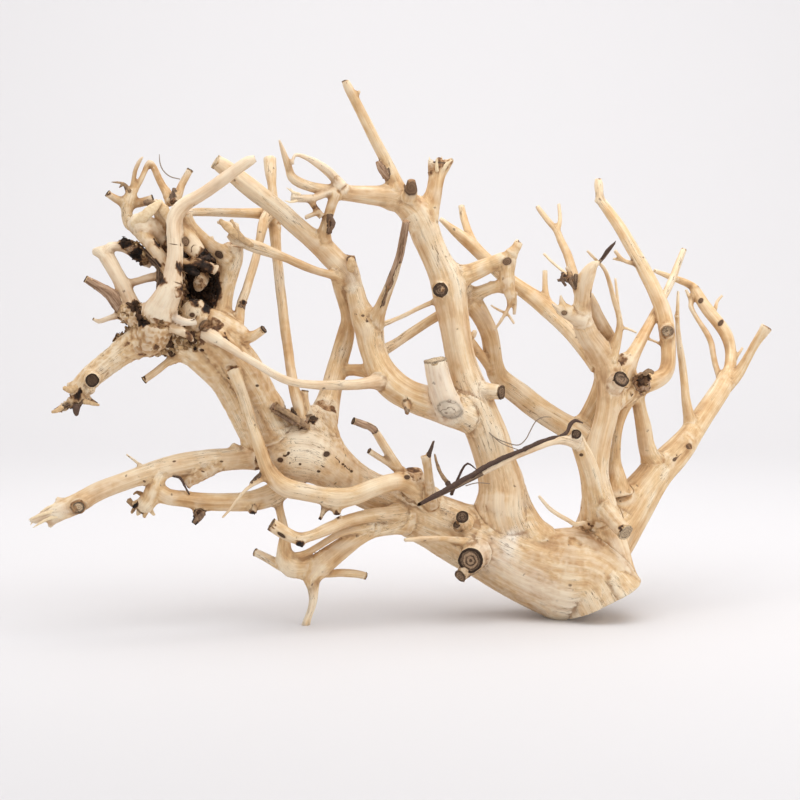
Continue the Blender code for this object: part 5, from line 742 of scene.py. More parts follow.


# Dark places on the front of the wood, dark marks and bark, and painted shade in the head's hollow and in holes:
# (across, up, reach) in millimetres, with how dark, 0 to 1.
DARK_PLACES = [
    (-133, 93, 6, 0.9), (-139, 92.5, 7, 0.85), (-240, -7, 4, 0.45), (-213, -3, 3.5, 0.45), (-141, 80, 13, 1.0),
    (-133, 70, 8, 1.0), (-148, 92, 8, 1.0), (-147, 43, 6, 0.6), (-143, 34, 4, 0.55), (-186, 64, 5, 0.8),
    (-180, 55, 4, 0.9), (-191, 39, 4, 0.5), (-182, 35, 4, 0.5), (-170, 37, 3, 0.45), (-121.5, 44, 3, 0.8),
    (-159, 144, 5, 0.9), (-177, 136.5, 4, 1.0), (-184.4, 101.6, 6, 1.0), (-192.4, 111.5, 6, 0.9),
    (-171, 95, 6, 0.9), (-168, 84, 5, 0.9), (-167, 121.7, 4, 1.0), (-168, 111, 4, 1.0), (-180.4, 14.6, 2.2, 1.0),
    (-121.5, 16, 2, 1.0), (-109.4, 68.2, 2.5, 0.9), (-110.8, 37, 3, 0.9), (-95.5, 49.6, 2.4, 0.8),
    (-145.6, 160.6, 2, 1.0), (-129.5, 158, 2, 0.8), (-43.8, 155, 4, 0.4), (-34, 91, 3, 0.45),
    (-47.8, 121.8, 3, 0.9), (-58.5, 135, 3.5, 0.45), (-226, 3, 4.5, 0.9), (-226.5, -8, 4, 0.9),
    (-60.5, -13, 3.4, 1.0), (-66, -18, 2, 0.8), (-144, -85, 4, 0.9), (-140.5, -79, 3, 0.7), (-103, -79, 3, 0.9),
    (-186, -74, 2.5, 1.0), (-181, -80, 2, 1.0), (-57, -83, 3, 0.9), (-44, -80, 2.5, 0.6), (-70, -101, 3, 0.9),
    (-88.5, -88, 3, 0.6), (33, -57, 2.5, 1.0), (24.8, -38, 2.5, 0.7), (120, 84, 3, 0.8), (115, 87, 3, 0.8),
    (70, 5.4, 3.5, 0.9), (170, 13, 5, 0.7), (156.5, 14.5, 3, 0.9), (-38, 223, 2.4, 0.6), (123.5, -23, 3, 0.8),
    (156.5, -92, 4, 0.7), (40.4, -123.5, 4, 0.7), (106.5, -12, 1.5, 0.6), (-204, 144, 2.4, 0.8),
]

# The hollow in the head, whose wall is painted near-black as shade: its middle, across and up, and its half width and
# half height.
HOLLOW = (-139, 79, 14, 19)

# Knots and cracks on the front of the wood: (across, up, half length, half width, turn in degrees, kind).
# Kind runs from 0, a pale ringed scar, to 1, a hole whose shade is painted black.
KNOTS = [
    (-225, -74.5, 5.6, 5.2, 0, 0.3), (8, 148.5, 5.0, 5.9, 12, 0.62), (-150, 111, 2.6, 3.6, 20, 0.5),
    (-136, 52, 4.8, 4.2, 20, 0.5), (-145.6, 59.5, 1.9, 1.6, 0, 0.8), (-126.8, 101.6, 3.2, 2.4, -40, 1.0),
    (187, 48, 4.6, 4.2, 0, 0.45), (35, -6.5, 9.0, 6.6, -10, 0.06), (-51.5, -38, 2.5, 2.0, 30, 1.0),
    (-84, -42, 2.1, 1.7, 0, 0.8), (-60.5, -13, 3.0, 2.4, 0, 1.0), (-67, -18, 4.5, 0.8, 40, 1.0),
    (-121, 15, 1.6, 1.2, 0, 0.9), (-100, 10, 1.2, 0.9, 0, 0.8), (35.5, 33, 2.0, 1.3, 60, 0.7),
    (12.5, 124, 3.8, 0.7, -63, 0.9), (5, 135, 7.5, 0.6, -45, 0.8), (-26, 59, 1.1, 0.8, 0, 0.55),
    (-23, 55, 0.8, 0.8, 0, 0.6), (-37, 61, 0.8, 0.6, 0, 0.6), (-93, -32, 1.1, 0.9, 0, 0.9),
    (-78, -37, 1.0, 0.9, 0, 0.9), (-57, -50, 1.2, 0.9, 0, 0.9), (-70, -45, 0.9, 0.8, 0, 0.8),
    (-40, -45, 1.0, 0.8, 0, 0.9), (-34, -50, 1.0, 0.9, 0, 0.8), (-125, -43, 1.1, 0.6, 0, 0.6),
    (-138, -50, 1.3, 0.5, -20, 0.6), (-179, -57, 1.0, 0.7, -20, 0.6), (33, -57, 2.6, 2.2, 0, 0.9),
    (5, -54, 2.2, 1.6, 0, 0.9), (13, -67, 3.0, 0.9, -10, 0.9), (127, -38.5, 1.4, 1.1, 0, 0.8),
    (-2.5, 64, 2.0, 1.7, 0, 0.9), (75, 97, 3.2, 2.8, 0, 0.6), (165, -9, 1.8, 1.5, 0, 0.6),
    (224.5, 54, 2.6, 1.6, 60, 0.8), (210.5, 69.5, 2.2, 1.6, 50, 0.7), (202.5, -32.5, 2.3, 2.0, 0, 0.7),
    (194.5, -38.5, 1.2, 1.0, 0, 0.7), (192, -42, 1.2, 1.0, 0, 0.7), (159, 3.5, 2.2, 2.0, 0, 0.8),
    (156.5, 14.3, 4.2, 3.8, 0, 0.7), (115, 61, 2.2, 1.8, 0, 0.45), (-158, -43, 1.2, 0.6, 10, 0.6),
    (-158.5, 109, 2.8, 0.3, -8, 0.6), (-154.5, 81.5, 3.2, 0.4, -20, 0.6), (-83, -94.5, 3.4, 1.2, -35, 0.95),
    (-34, 98.6, 3.4, 2.6, 0, 0.55), (-138.5, 103, 3.0, 2.2, 30, 0.7),
]

# Long marks on the front of the wood: (across, up) from and to, half width in millimetres, then how much bark,
# brown stain, bleaching and dirt, 0 to 1.
STRIPS = [
    (-18, -21, -33, -14, 4, 1.0, 0.85, 0, 0), (-1, 102, 4.5, 128, 6, 1.0, 1.0, 0, 0),
    (-2, 101, -8, 80, 2.8, 1.0, 1.0, 0, 0), (-8, 80, -12, 67, 1.3, 1.0, 0.7, 0, 0.3),
    (77, -94, 73, -112, 6, 0, 0, 0.8, 0), (60, -106, 112, -142, 13, 0, 0.1, 0.45, 0),
    (58, -124, 101, -149, 2, 0, 0.6, 0, 0.1), (126, -93, 137, -103, 5, 0, 0.85, 0, 0.15),
    (131, -86.5, 135.5, -88.5, 1.0, 0, 0.5, 0, 0.6), (52, -73, 70, -80, 2.5, 0, 0.7, 0, 0.3),
    (-34.5, 86, -34.2, 102, 6, 0.3, 0.85, 0, 0.1), (121, -14, 128, -33, 2, 0, 0, 0.3, 0),
    (96, -80, 104, -97, 4, 0, 0.6, 0, 0), (30, -20, 22, 22, 8, 0, 0, 0.6, 0),
    (136.5, 74.5, 138, 63.5, 3.2, 0, 0.6, 0, 1.0), (137, 64, 142, 48, 6, 0, 0.75, 0, 0.1),
    (70, -70, 58, -30, 6, 0, 0.35, 0, 0), (68, -52, 64, -78, 4, 0, 0, 0.5, 0), (36, 20, 38, 60, 4, 0, 0.3, 0, 0),
    (-44, 151, -50, 160, 2.2, 0, 0.6, 0, 0.1), (140, -5, 144, -60, 3, 0, 0, 0.4, 0),
    (-90, -30, -110, 8, 5, 0, 0.4, 0, 0), (-128, -50, -150, -58, 4, 0.2, 0.6, 0, 0.1),
    (-235, -76, -258, -84, 5, 0.1, 0.2, 0.5, 0.1), (-40, 6, -62, -30, 4, 0, 0.4, 0, 0),
    (116, -110, 150, -131, 4, 0, 0.35, 0, 0), (106, -100, 128, -112, 3, 0, 0.3, 0, 0),
    (150, -100, 160, -118, 4, 0, 0, 0.35, 0), (186, -45, 214, -12, 4, 0, 0.3, 0, 0),
    (20, 162, 36, 167, 5, 0.3, 0.8, 0, 0.45), (54, -53, 12, -74, 4, 1.0, 0.6, 0, 0),
]


def frontmost(points, normals, across, up, reach):
    """Which points of the skin face the front near a place, with none of the limbs that lie behind the first one."""
    a, c = across_up(points)
    faces_front = normals[:, 1] < 0.35
    near = np.flatnonzero((np.abs(a - across) < reach) & (np.abs(c - up) < reach) & faces_front)
    if len(near) == 0:
        return near
    limb_depth = 1.2 * reach + 3
    return near[points[near, 1] < points[near, 1].min() + limb_depth]


def mesh_of(name, points, *face_groups):
    """A mesh from arrays: points in millimetres, and groups of faces with one number of corners each."""
    mesh = bpy.data.meshes.new(name)
    mesh.vertices.add(len(points))
    mesh.vertices.foreach_set("co", (points * MM).astype(np.float32).ravel())
    corners = np.concatenate([group.ravel() for group in face_groups])
    sizes = np.concatenate([np.full(len(group), group.shape[1]) for group in face_groups])
    mesh.loops.add(len(corners))
    mesh.loops.foreach_set("vertex_index", corners.astype(np.int32))
    mesh.polygons.add(len(sizes))
    mesh.polygons.foreach_set("loop_start", np.r_[0, np.cumsum(sizes)[:-1]].astype(np.int32))
    mesh.update(calc_edges=True)
    return mesh


def piece_of(mesh):
    """A new object in the scene for a mesh."""
    piece = bpy.data.objects.new(mesh.name, mesh)
    bpy.context.scene.collection.objects.link(piece)
    return piece


def quads_of(mesh):
    """The corners of an all-quad mesh's faces."""
    corners = np.empty(len(mesh.loops), np.int32)
    mesh.loops.foreach_get("vertex_index", corners)
    return corners.reshape(-1, 4)


def joined(tubes):
    """Closed tubes as one array each of points, quads and end triangles."""
    points, quads, tris = zip(*tubes)
    firsts = np.r_[0, np.cumsum([len(rows) for rows in points])]
    faces = [np.vstack([rows + first for rows, first in zip(group, firsts)]) for group in (quads, tris)]
    return np.vstack(points), *faces


def sides_of(quads):
    """Where each side of each quad starts and ends. On a closed skin that names each pair of neighbours both ways."""
    return quads.ravel(), np.roll(quads, -1, axis=1).ravel()


def neighbour_mean(rows, start, end):
    """The mean of the rows of each point's neighbours, from the ends of its edges, named both ways."""
    count = np.bincount(start, minlength=len(rows))[:, None]
    return np.stack([np.bincount(start, rows[end, axis], len(rows)) for axis in range(3)], 1) / count


def outer_skin(points, quads):
    """The largest connected skin alone. Labels sink to the lowest label that a face can reach."""
    start, end = sides_of(quads)
    label = np.arange(len(points))
    while True:
        a, b = label[start], label[end]
        if (a == b).all():
            break
        np.minimum.at(label, np.maximum(a, b), np.minimum(a, b))
        label = label[label]
        label = label[label]
    kept = label == np.bincount(label).argmax()
    renumbered = np.cumsum(kept) - 1
    return points[kept], renumbered[quads[kept[quads[:, 0]]]]


def evened(points, quads, share, times=2, back=0.94):
    """Moves each point towards the mean of its neighbours by its share, then nearly as far back, so limbs keep their
    girth."""
    start, end = sides_of(quads)
    for _ in range(times):
        for step in (share, -back * share):
            points = points + (neighbour_mean(points, start, end) - points) * step[:, None]
    return points


def crumbling(points):
    """Lumps and pits of rotten or burry wood, 4 and 2 mm across: creases where two scales of noise cross zero stand
    out, the rest sinks."""
    coarse, fine = [np.abs(lattice_noise(points / size, seed)) for size, seed in ((4.2, 4), (2.1, 5))]
    return 0.9 - 2.2 * coarse - 1.3 * fine


def closeness(wood, radius, second, gap):
    """How close each point is to the crease where its limb meets the next one, 0 to 1, over a reach that grows with
    the thinner limb up to 11 mm. Gives the reach too."""
    reach = np.minimum(0.85 * np.minimum(radius, wood.radius[second]) + 1.0, 11)
    return np.clip(1 - np.maximum(gap, 0) / reach, 0, 1), reach


def relief(wood, points, first, second, gap):
    """How far each point of the skin stands out, in millimetres: slow lumps and long flutes that grow with the limb,
    fine fibres along it, a fillet where limbs meet, and crumbs where bark or rot is left."""
    straight = wood.straightened(points, first)
    radius, turns = straight.radius, straight.turns
    x, y = straight.x / radius, straight.y / radius
    shift = wood.limb[first] * LIMB_SHIFT
    across, along, lump_height = LUMPS
    lumps = lattice_noise(np.stack([x * across + shift, y * across, turns * along], 1), 1)
    twist = turns * TWIST
    x, y = x * np.cos(twist) - y * np.sin(twist), x * np.sin(twist) + y * np.cos(twist)
    across, along, flute_height = FLUTES
    flutes = lattice_noise(np.stack([x * across + shift, y * across, turns * along], 1), 2)
    width, length, fibre_height = FIBRES
    fibres = lattice_noise(np.stack([x * radius / width + shift, y * radius / width, straight.along / length], 1), 3)
    stout = ramp(radius, 4, 12)
    height = radius * (lump_height * lumps + flute_height * stout * flutes)
    height += fibre_height * fibres * ramp(radius, 1, 4)
    rough = wood.finish[first, 3]
    height += rough * (0.9 + 0.5 * ramp(rough, 0.5, 1.0)) * crumbling(points) * ramp(radius, 0.8, 4)
    near, reach = closeness(wood, radius, second, gap)
    facing = (unit(straight.off) * unit(points - wood.centre[second])).sum(1)
    return height + 0.3 * reach * near ** 2 * np.clip(1.1 - facing, 0, 1), near


def grow_skin(wood):
    """One skin over all the limbs: closed tubes are grown together, each point is set at its limb's true radius
    where it lies clear of other limbs and square off its own, and the relief is added along the normals."""
    tubes = []
    for limb in range(len(wood.names)):
        rows = np.flatnonzero(wood.limb == limb)
        radius = np.maximum(wood.radius[rows], THINNEST / 2)
        sides = TWIG_SIDES if radius.max() < TWIG_RADIUS else LIMB_SIDES
        tubes.append(tube_grid(
            wood.centre[rows], radius, wood.normal[rows], wood.side[rows], wood.tangent[rows], sides))
    skin = piece_of(mesh_of("root_skin", *joined(tubes)))
    remesh = skin.modifiers.new("Grown together", "REMESH")
    remesh.mode = "VOXEL"
    remesh.voxel_size = SKIN_VOXEL
    settle(skin)
    points, quads = outer_skin(vertex_array(skin.data) * METRE, quads_of(skin.data))
    points = evened(points, quads, np.full(len(points), 0.5))
    first, second, gap = wood.nearest(points)
    straight = wood.straightened(points, first)
    far = np.linalg.norm(straight.off, axis=1)
    square = 1 - ramp(np.abs((straight.off * straight.tangent).sum(1)) / far, 0.05, 0.3)
    clear = ramp(gap, 0.4, 4.0) * square
    points = points + unit(straight.off) * ((straight.radius - far) * clear)[:, None]
    height, near = relief(wood, points, first, second, gap)
    set_mesh(skin, mesh_of("root_skin", points, quads))
    points = points + vertex_array(skin.data, "normal") * height[:, None]
    points = evened(points, quads, 0.12 + 0.5 * near * (1 - ramp(wood.finish[first, 3], 0.3, 0.9)))
    set_mesh(skin, mesh_of("root_skin", in_box(points, SKIN_BOTTOM), quads))
    fewer = skin.modifiers.new("Fewer faces", "DECIMATE")
    fewer.ratio = SKIN_TRIANGLES / (2 * len(quads))
    fewer.use_collapse_triangulate = True
    settle(skin)
    inside = in_box(vertex_array(skin.data) * METRE, SKIN_BOTTOM) * MM
    skin.data.vertices.foreach_set("co", inside.astype(np.float32).ravel())
    return skin


def saw_flat(piece, point, normal, slot):
    """Cuts a closed piece at a plane, given in millimetres, and closes the cut with faces of a material slot."""
    wood = bmesh.new()
    wood.from_mesh(piece.data)
    everything = list(wood.verts) + list(wood.edges) + list(wood.faces)
    bmesh.ops.bisect_plane(
        wood, geom=everything, dist=1e-6, plane_co=np.array(point) * MM, plane_no=normal, clear_outer=True)
    rim = [edge for edge in wood.edges if edge.is_boundary]
    made = bmesh.ops.holes_fill(wood, edges=rim, sides=0)["faces"]
    for face in made:
        face.material_index = slot
        face.smooth = False
    bmesh.ops.recalc_face_normals(wood, faces=wood.faces)
    wood.to_mesh(piece.data)
    wood.free()


def write_attribute(mesh, name, rows):
    """Three numbers for each vertex, which the materials read by name."""
    attribute = mesh.attributes.new(name, "FLOAT_VECTOR", "POINT")
    attribute.data.foreach_set("vector", rows.astype(np.float32).ravel())


def fill(tree, socket, value):
    """Gives a socket a value, a hex colour, a link, or a node, whose first output in use is linked."""
    if isinstance(value, bpy.types.Node):
        value = next(output for output in value.outputs if output.enabled)
    if isinstance(value, bpy.types.NodeSocket):
        tree.links.new(value, socket)
    else:
        socket.default_value = linear(value) if isinstance(value, str) else value


def add_node(tree, kind, *inputs, stops=(), **given):
    """Adds one shader node. The kind may carry its operation or data type. Inputs fill its sockets in order. A name
    with a capital, or i and a number, is a socket, and any other name is a setting. Stops are a colour ramp's places
    and colours."""
    order = {"Mix": (0, 2, 3), "Mix RGBA": (0, 6, 7)}.get(kind, range(9))
    kind, _, mode = kind.partition(" ")
    node = tree.nodes.new("ShaderNode" + kind)
    if mode:
        setattr(node, "data_type" if kind == "Mix" else "operation", mode)
    links = [(node.inputs[place], value) for place, value in zip(order, inputs)]
    for key, value in given.items():
        if key[1:].isdigit():
            links.append((node.inputs[int(key[1:])], value))
        elif key[0].isupper():
            links.append((node.inputs[key], value))
        else:
            setattr(node, key, value)
    for socket, value in links:
        fill(tree, socket, value)
    for number, (position, colour) in enumerate(stops):
        elements = node.color_ramp.elements
        element = elements[number] if number < 2 else elements.new(position)
        element.position = position
        element.color = linear(colour)
    return node


# Limbs that end in a sawn or snapped face: (size beside the limb's own, paleness of the face, darkness of the rim).
STUBS = {
    "ringed_stub": (0.97, 0.5, 1.0), "small_stub": (1.0, 0.5, 0.6), "dark_oval": (1.0, 0.15, 0.8),
    "dark_oval_nub": (1.0, 0.1, 0.7), "front_knot": (0.95, 0.12, 0.9), "right_stub": (0.98, 1.0, 0.1),
    "side_stub": (0.95, 0.35, 0.6), "snout_knot": (1.0, 0.0, 1.0), "central_knot": (1.05, 0.2, 0.8),
    "big_bow_knot": (0.75, 0.9, 0.4), "limb_end_knob": (1.0, 0.3, 0.9), "low_knob": (1.0, 0.15, 0.5),
    "left_arm_knot": (0.78, 0.85, 0.8), "thick_limb": (0.98, 1.0, 0.0), "tall_rod": (0.95, 0.9, 0.1),
    "thin_peg": (1.0, 0.3, 0.8), "tan_twig": (1.0, 0.3, 0.6), "brown_peg": (1.0, 0.4, 0.6),
    "right_knob_branch": (1.0, 0.3, 0.9), "front_stub": (0.95, 0.7, 0.6), "front_foot_left": (1.0, 0.5, 0.5),
    "front_foot_right": (1.0, 0.5, 0.5), "hub_peg": (1.0, 0.6, 0.4), "arm_link": (0.95, 0.7, 0.3),
    "light_twig": (1.0, 0.2, 0.7), "light_twig_fork": (1.0, 0.4, 0.6), "splintered_fork": (0.9, 0.5, 0.5),
    "twig_left": (1.0, 0.25, 0.8), "left_tip": (1.0, 0.5, 0.4), "brown_twig": (1.0, 0.4, 0.4),
    "up_twig": (0.95, 0.5, 0.6), "cut_block": (0.97, 1.0, 0.3),
}

# A stub end's profile from its collar to its middle, in radii: how far out, and how far it stands up. It starts a
# little out from the limb's end, in radii and in millimetres, and is a little wider than the limb.
STUB_REACH = np.r_[0.55, 0.93, 1.0, 1.03, 1.0, 0.93, 0.86, 0.76, 0.68, 0.6, 0.5, 0.42, 0.34, 0.24, 0.14, 0.05]
STUB_STAND = np.r_[
    -0.9, -0.6, -0.3, -0.02, 0.05, 0.08, 0.03, 0.045, 0.01, 0.03, -0.01, 0.02, -0.02, 0.0, -0.03, -0.03]
STUB_SIDES = 40
STUB_LIFT = (0.14, 0.35)
STUB_WIDER = 1.03
COLLAR = 1.2


def stub_ends(wood):
    """Sawn or snapped stub ends. Each is a profile turned about its limb's end: a collar that rises out of the wood,
    an uneven rim, then a face with shallow rings down to a pole. Noise bends the rim and chips the face. The rings
    attribute holds the way out from the middle in radii, or COLLAR there, then the stub's two shades."""
    tubes, rings = [], []
    for name, (size, pale, rim) in STUBS.items():
        last = wood.stop[wood.names.index(name)]
        radius = STUB_WIDER * wood.radius[last] * size
        tangent, normal, side = wood.tangent[last], wood.normal[last], wood.side[last]
        path = wood.centre[last] + ((STUB_STAND + STUB_LIFT[0]) * radius + STUB_LIFT[1])[:, None] * tangent
        axes = [np.tile(axis, (len(path), 1)) for axis in (normal, side, tangent)]
        points, quads, tris = tube_grid(path, STUB_REACH * radius, *axes, STUB_SIDES, cap=0.02)
        off = points - wood.centre[last]
        flat = off - (off @ tangent)[:, None] * tangent
        bend = lattice_noise(points / (0.55 * radius), 31) + 0.5 * lattice_noise(points / (0.22 * radius), 32)
        chip = lattice_noise(points / 1.3, 33)
        rise = 0.05 * radius * bend + 0.12 * chip
        tubes.append((points + flat * (0.06 * bend)[:, None] + rise[:, None] * tangent, quads, tris))
        level = (off @ tangent - STUB_LIFT[1]) / radius - STUB_LIFT[0]
        share = np.where(level < -0.1, COLLAR, np.linalg.norm(flat, axis=1) / radius)
        rings.append(np.stack([share, np.full(len(points), pale), np.full(len(points), rim)], 1))
    points, *faces = joined(tubes)
    piece = piece_of(mesh_of("stub_ends", in_box(points), *faces))
    write_attribute(piece.data, "rings", np.vstack(rings))
    return piece


# Loose slivers, strips and hairs: routes as above, then how flat the section is and the kind, which shades from 0,
# pale torn wood, to 1, dark bark. At 2 it is a grey root hair.
SLIVERS = [
    ([(128, -16, -31, 0.8), (122.5, -14.3, -34, 3.2), (119, -17.5, -37, 3.0), (117.2, -22, -40, 2.8),
      (113, -25.2, -43.4, 2.8), (103, -27.6, -50, 3.0), (93, -31.6, -54.5, 3.0), (83.7, -35.8, -59.5, 3.0),
      (74, -39.6, -64, 3.2), (65.5, -43.4, -68, 2.9), (57, -48, -72, 3.0), (49.4, -52.8, -75.5, 3.2),
      (40, -58, -79.5, 3.6), (30, -64, -84, 3.7), (20, -69.5, -87.5, 3.4), (13, -73.7, -90, 2.4)], 0.7, 1),
    ([(116, -24, -40, 1.2), (96, -31, -53, 1.5), (76, -40, -63, 1.5), (60, -48, -70, 1.3), (50, -55, -74, 0.5)],
      0.8, 1),
    ([(60, -20, -12, 0.7), (66, -26, -16, 0.8), (75, -30, -18, 0.8), (83, -31.5, -20, 0.8), (88, -27.5, -21, 0.8),
      (91, -22, -22, 0.8), (95, -15, -22, 0.8), (100, -12, -22, 0.7), (106, -12, -21, 0.4)], 1.0, 2),
    ([(62, -22, -12, 0.7), (70, -29.5, -17, 0.7), (79, -33.5, -20, 0.7), (87, -36.2, -21, 0.4)], 1.0, 2),
    ([(-168.5, 172, -50, 0.4), (-168, 166, -50, 0.8), (-166, 161, -50, 0.8), (-161, 156.5, -50, 0.8),
      (-154, 154.6, -49, 0.7)], 1.0, 2),
    ([(36, -66, -18, 2.2), (41, -54, -30, 1.9), (45.5, -45.6, -35, 1.5), (49, -45, -36, 1.2),
      (54.5, -49.5, -36, 0.5)], 0.8, 1),
    ([(46, -60, -16, 0.8), (54, -58, -18, 0.8), (63, -58.5, -17, 0.5)], 1.0, 2),
    ([(-238, -77, -75, 3.2), (-247, -79, -77, 2.6), (-255, -81.5, -78, 1.8), (-262, -84.5, -79, 0.4)], 0.5, 0),
    ([(-240, -81, -76, 3.0), (-249, -84.5, -78, 2.4), (-257, -89.5, -79, 0.5)], 0.5, 0),
    ([(-236, -72, -72, 2.8), (-245, -74.5, -75, 2.0), (-252, -78.5, -77, 0.4)], 0.5, 0),
    ([(-244, -80, -70, 3.0), (-254, -83.5, -72, 1.6), (-259.5, -87.5, -73, 0.4)], 0.5, 0),
    ([(23, 160, 0, 3.4), (21.6, 165.5, 0, 2.4), (20.4, 170, 0, 0.5)], 0.5, 0),
    ([(26, 160, -5, 3.0), (25.6, 166, -5.5, 1.8), (25.8, 169.6, -6, 0.4)], 0.5, 0),
    ([(30, 161, -3, 3.2), (33, 165.5, -3, 2.2), (37, 168.4, -3, 0.5)], 0.5, 0),
    ([(28, 161, 4, 3.0), (29.4, 166, 5, 1.8), (29.2, 170.5, 5, 0.4)], 0.5, 0),
    ([(-70, 144, -34, 2.4), (-75, 145.6, -36, 1.6), (-79.5, 148.8, -37, 0.4)], 0.5, 0),
    ([(-72, 139.5, -33, 2.4), (-77, 138.6, -36, 1.4), (-80.5, 139.4, -38, 0.4)], 0.5, 0),
    ([(-236, -5, -70, 3.4), (-240.5, -7.6, -72, 3.0), (-243.6, -8.4, -73, 2.2)], 0.6, 0.3),
    ([(-226.4, -4, -70, 5), (-226.6, -8, -72, 4.8), (-226.4, -10.6, -73, 3)], 0.8, 0.9),
    ([(-221, -1, -69, 4), (-215, -2.6, -70, 3), (-210.5, -3.4, -71, 1.4)], 0.6, 0.3),
    ([(-226, 9, -68, 5), (-231, 7, -69, 4.6), (-235.5, 8.6, -70, 3.4)], 0.7, 0.3),
    ([(-190, -70, -44, 4), (-186, -75, -46, 3.4), (-188, -79, -47, 2.0)], 0.6, 0.5),
    ([(-189, 146, -52, 2.6), (-194, 151.5, -54, 2.0), (-202, 152.6, -55, 0.5)], 0.5, 0.55),
    ([(-190, 148, -48, 2.4), (-193.5, 151, -50, 2.2), (-196.6, 148.6, -51, 0.6)], 0.5, 0.6),
    ([(-187, 122, -63, 6), (-180, 128, -66, 8), (-172, 135, -66, 7), (-167.5, 139.5, -64, 3)], 0.4, 0.08),
    ([(-169, 138, -62, 6), (-164, 131, -64, 7.5), (-160, 123, -64, 5)], 0.4, 0.2),
    ([(-179, 138.5, -58, 4), (-173, 137.5, -60, 5), (-167, 134.5, -60, 4)], 0.5, 0.65),
    ([(-126, 126, -60, 3), (-121, 121, -62, 5.5), (-116, 117, -62, 6), (-112, 113, -61, 3)], 0.4, 0.3),
    ([(-118, 126, -59, 2.5), (-115, 119, -61, 4.4), (-110, 112.5, -61, 4.6), (-103, 108, -58, 3)], 0.5, 0.4),
    ([(-86, -4.5, -48, 4.2), (-79, -9, -48, 4.0), (-71, -14, -44, 4.2), (-64, -19, -39, 3.0)], 0.5, 0.55),
    ([(-87, -8.5, -47, 2.4), (-80, -13, -47, 2.8), (-73, -17, -44, 2.6)], 0.5, 0.7),
    ([(-49.5, 130, -25, 2.2), (-46.5, 124, -27, 3.0), (-48.5, 119, -27, 2.2), (-50, 116.5, -25, 1.0)], 0.5, 0.75),
    ([(171, 18, 8, 3.4), (174, 20.5, 8, 4.0), (177.4, 19, 8, 2.4)], 0.6, 0.6),
    ([(-137, -79, -46, 3.4), (-142, -83, -48, 3.8), (-144, -86, -49, 2.6)], 0.6, 0.7),
    ([(116, 80, -19, 2.0), (113, 84.6, -21, 2.6), (113.8, 88, -21, 1.4)], 0.5, 0.8),
    ([(122, 78, -18, 2.0), (119, 83, -19, 2.6), (121, 87, -19, 1.4)], 0.5, 0.7),
    ([(24.3, -38, -36, 1.6), (26.3, -46, -35, 2.6), (29.5, -53, -33, 2.8), (33, -57.5, -31, 3.2)], 0.8, 0.6),
    ([(33.2, -57.8, -32, 4.2), (35, -61, -31, 3.6)], 0.8, 1.1),
    ([(19.6, -40, -34, 3.4), (21.6, -34.5, -35, 3.0), (23.8, -28.6, -36, 0.8)], 0.6, 1.15),
    ([(141, 98.6, -15, 1.8), (145, 104, -17, 2.8), (148.6, 108, -18.5, 2.4), (151, 111.4, -19, 0.5)], 0.6, 1.1),
    ([(-180, -70, -46, 4), (-184.5, -72, -48, 4.2), (-187, -72.5, -49, 2.4)], 0.7, 0.2),
    ([(-179, -73, -46, 4), (-182.5, -78, -48, 4), (-184, -80.5, -49, 2)], 0.7, 0.1),
    ([(-177, -74, -47, 4), (-178.5, -79, -49, 4), (-179, -82, -50, 2.2)], 0.7, 0.3),
    ([(-175, -73, -46, 4), (-174, -78, -47, 3.6), (-172, -80.5, -48, 1.8)], 0.6, 0.1),
    ([(-181, -66, -44, 3), (-184, -64.5, -46, 2.4), (-186.5, -66, -47, 1)], 0.6, 0.5),
    ([(-35, 90, -14, 6), (-34.3, 95, -16, 6.4), (-34, 99, -17, 5)], 0.8, 0.25),
    ([(-159, -53.4, -50, 1.2), (-154, -54.3, -50, 2.0), (-151, -59.5, -49, 1.6), (-147.5, -66, -48, 1.2)],
      0.6, 1.1),
]

# Points every 2 mm along a sliver, and how uneven torn wood and bark are: a share of the girth, and in millimetres.
SLIVER_STEP, SLIVER_SIDES, UNEVEN = 2.0, 10, 0.22


def slivers():
    """Torn splinters, bark strips and root hairs: flattened tubes along smooth routes, pointed at their ends. Their
    flat side faces the front, and noise makes all but the hairs uneven."""
    front = np.array([0.0, -1.0, 0.15])
    tubes, kinds = [], []
    for number, (route, flat, kind) in enumerate(SLIVERS):
        centre, radius = placed(smooth_route(route, SLIVER_STEP))
        tangent, _, _ = carried_frame(centre)
        normal = unit(front - (tangent @ front)[:, None] * tangent)
        wobble = lattice_noise(centre / 2.6 + number, 41)
        radius = radius * (1 + (0.0 if kind == 2 else UNEVEN) * wobble)
        side = np.cross(tangent, normal)
        points, quads, tris = tube_grid(centre, radius, normal, side, tangent, SLIVER_SIDES, cap=0.6, flat=flat)
        if kind < 2:
            points = points + UNEVEN * np.stack([lattice_noise(points / 1.1, seed) for seed in (42, 43, 44)], 1)
        tubes.append((points, quads, tris))
        kinds.append(np.tile([kind, number, 0.0], (len(points), 1)))
    points, *faces = joined(tubes)
    piece = piece_of(mesh_of("slivers_and_hairs", in_box(points), *faces))
    write_attribute(piece.data, "sliver", np.vstack(kinds))
    return piece


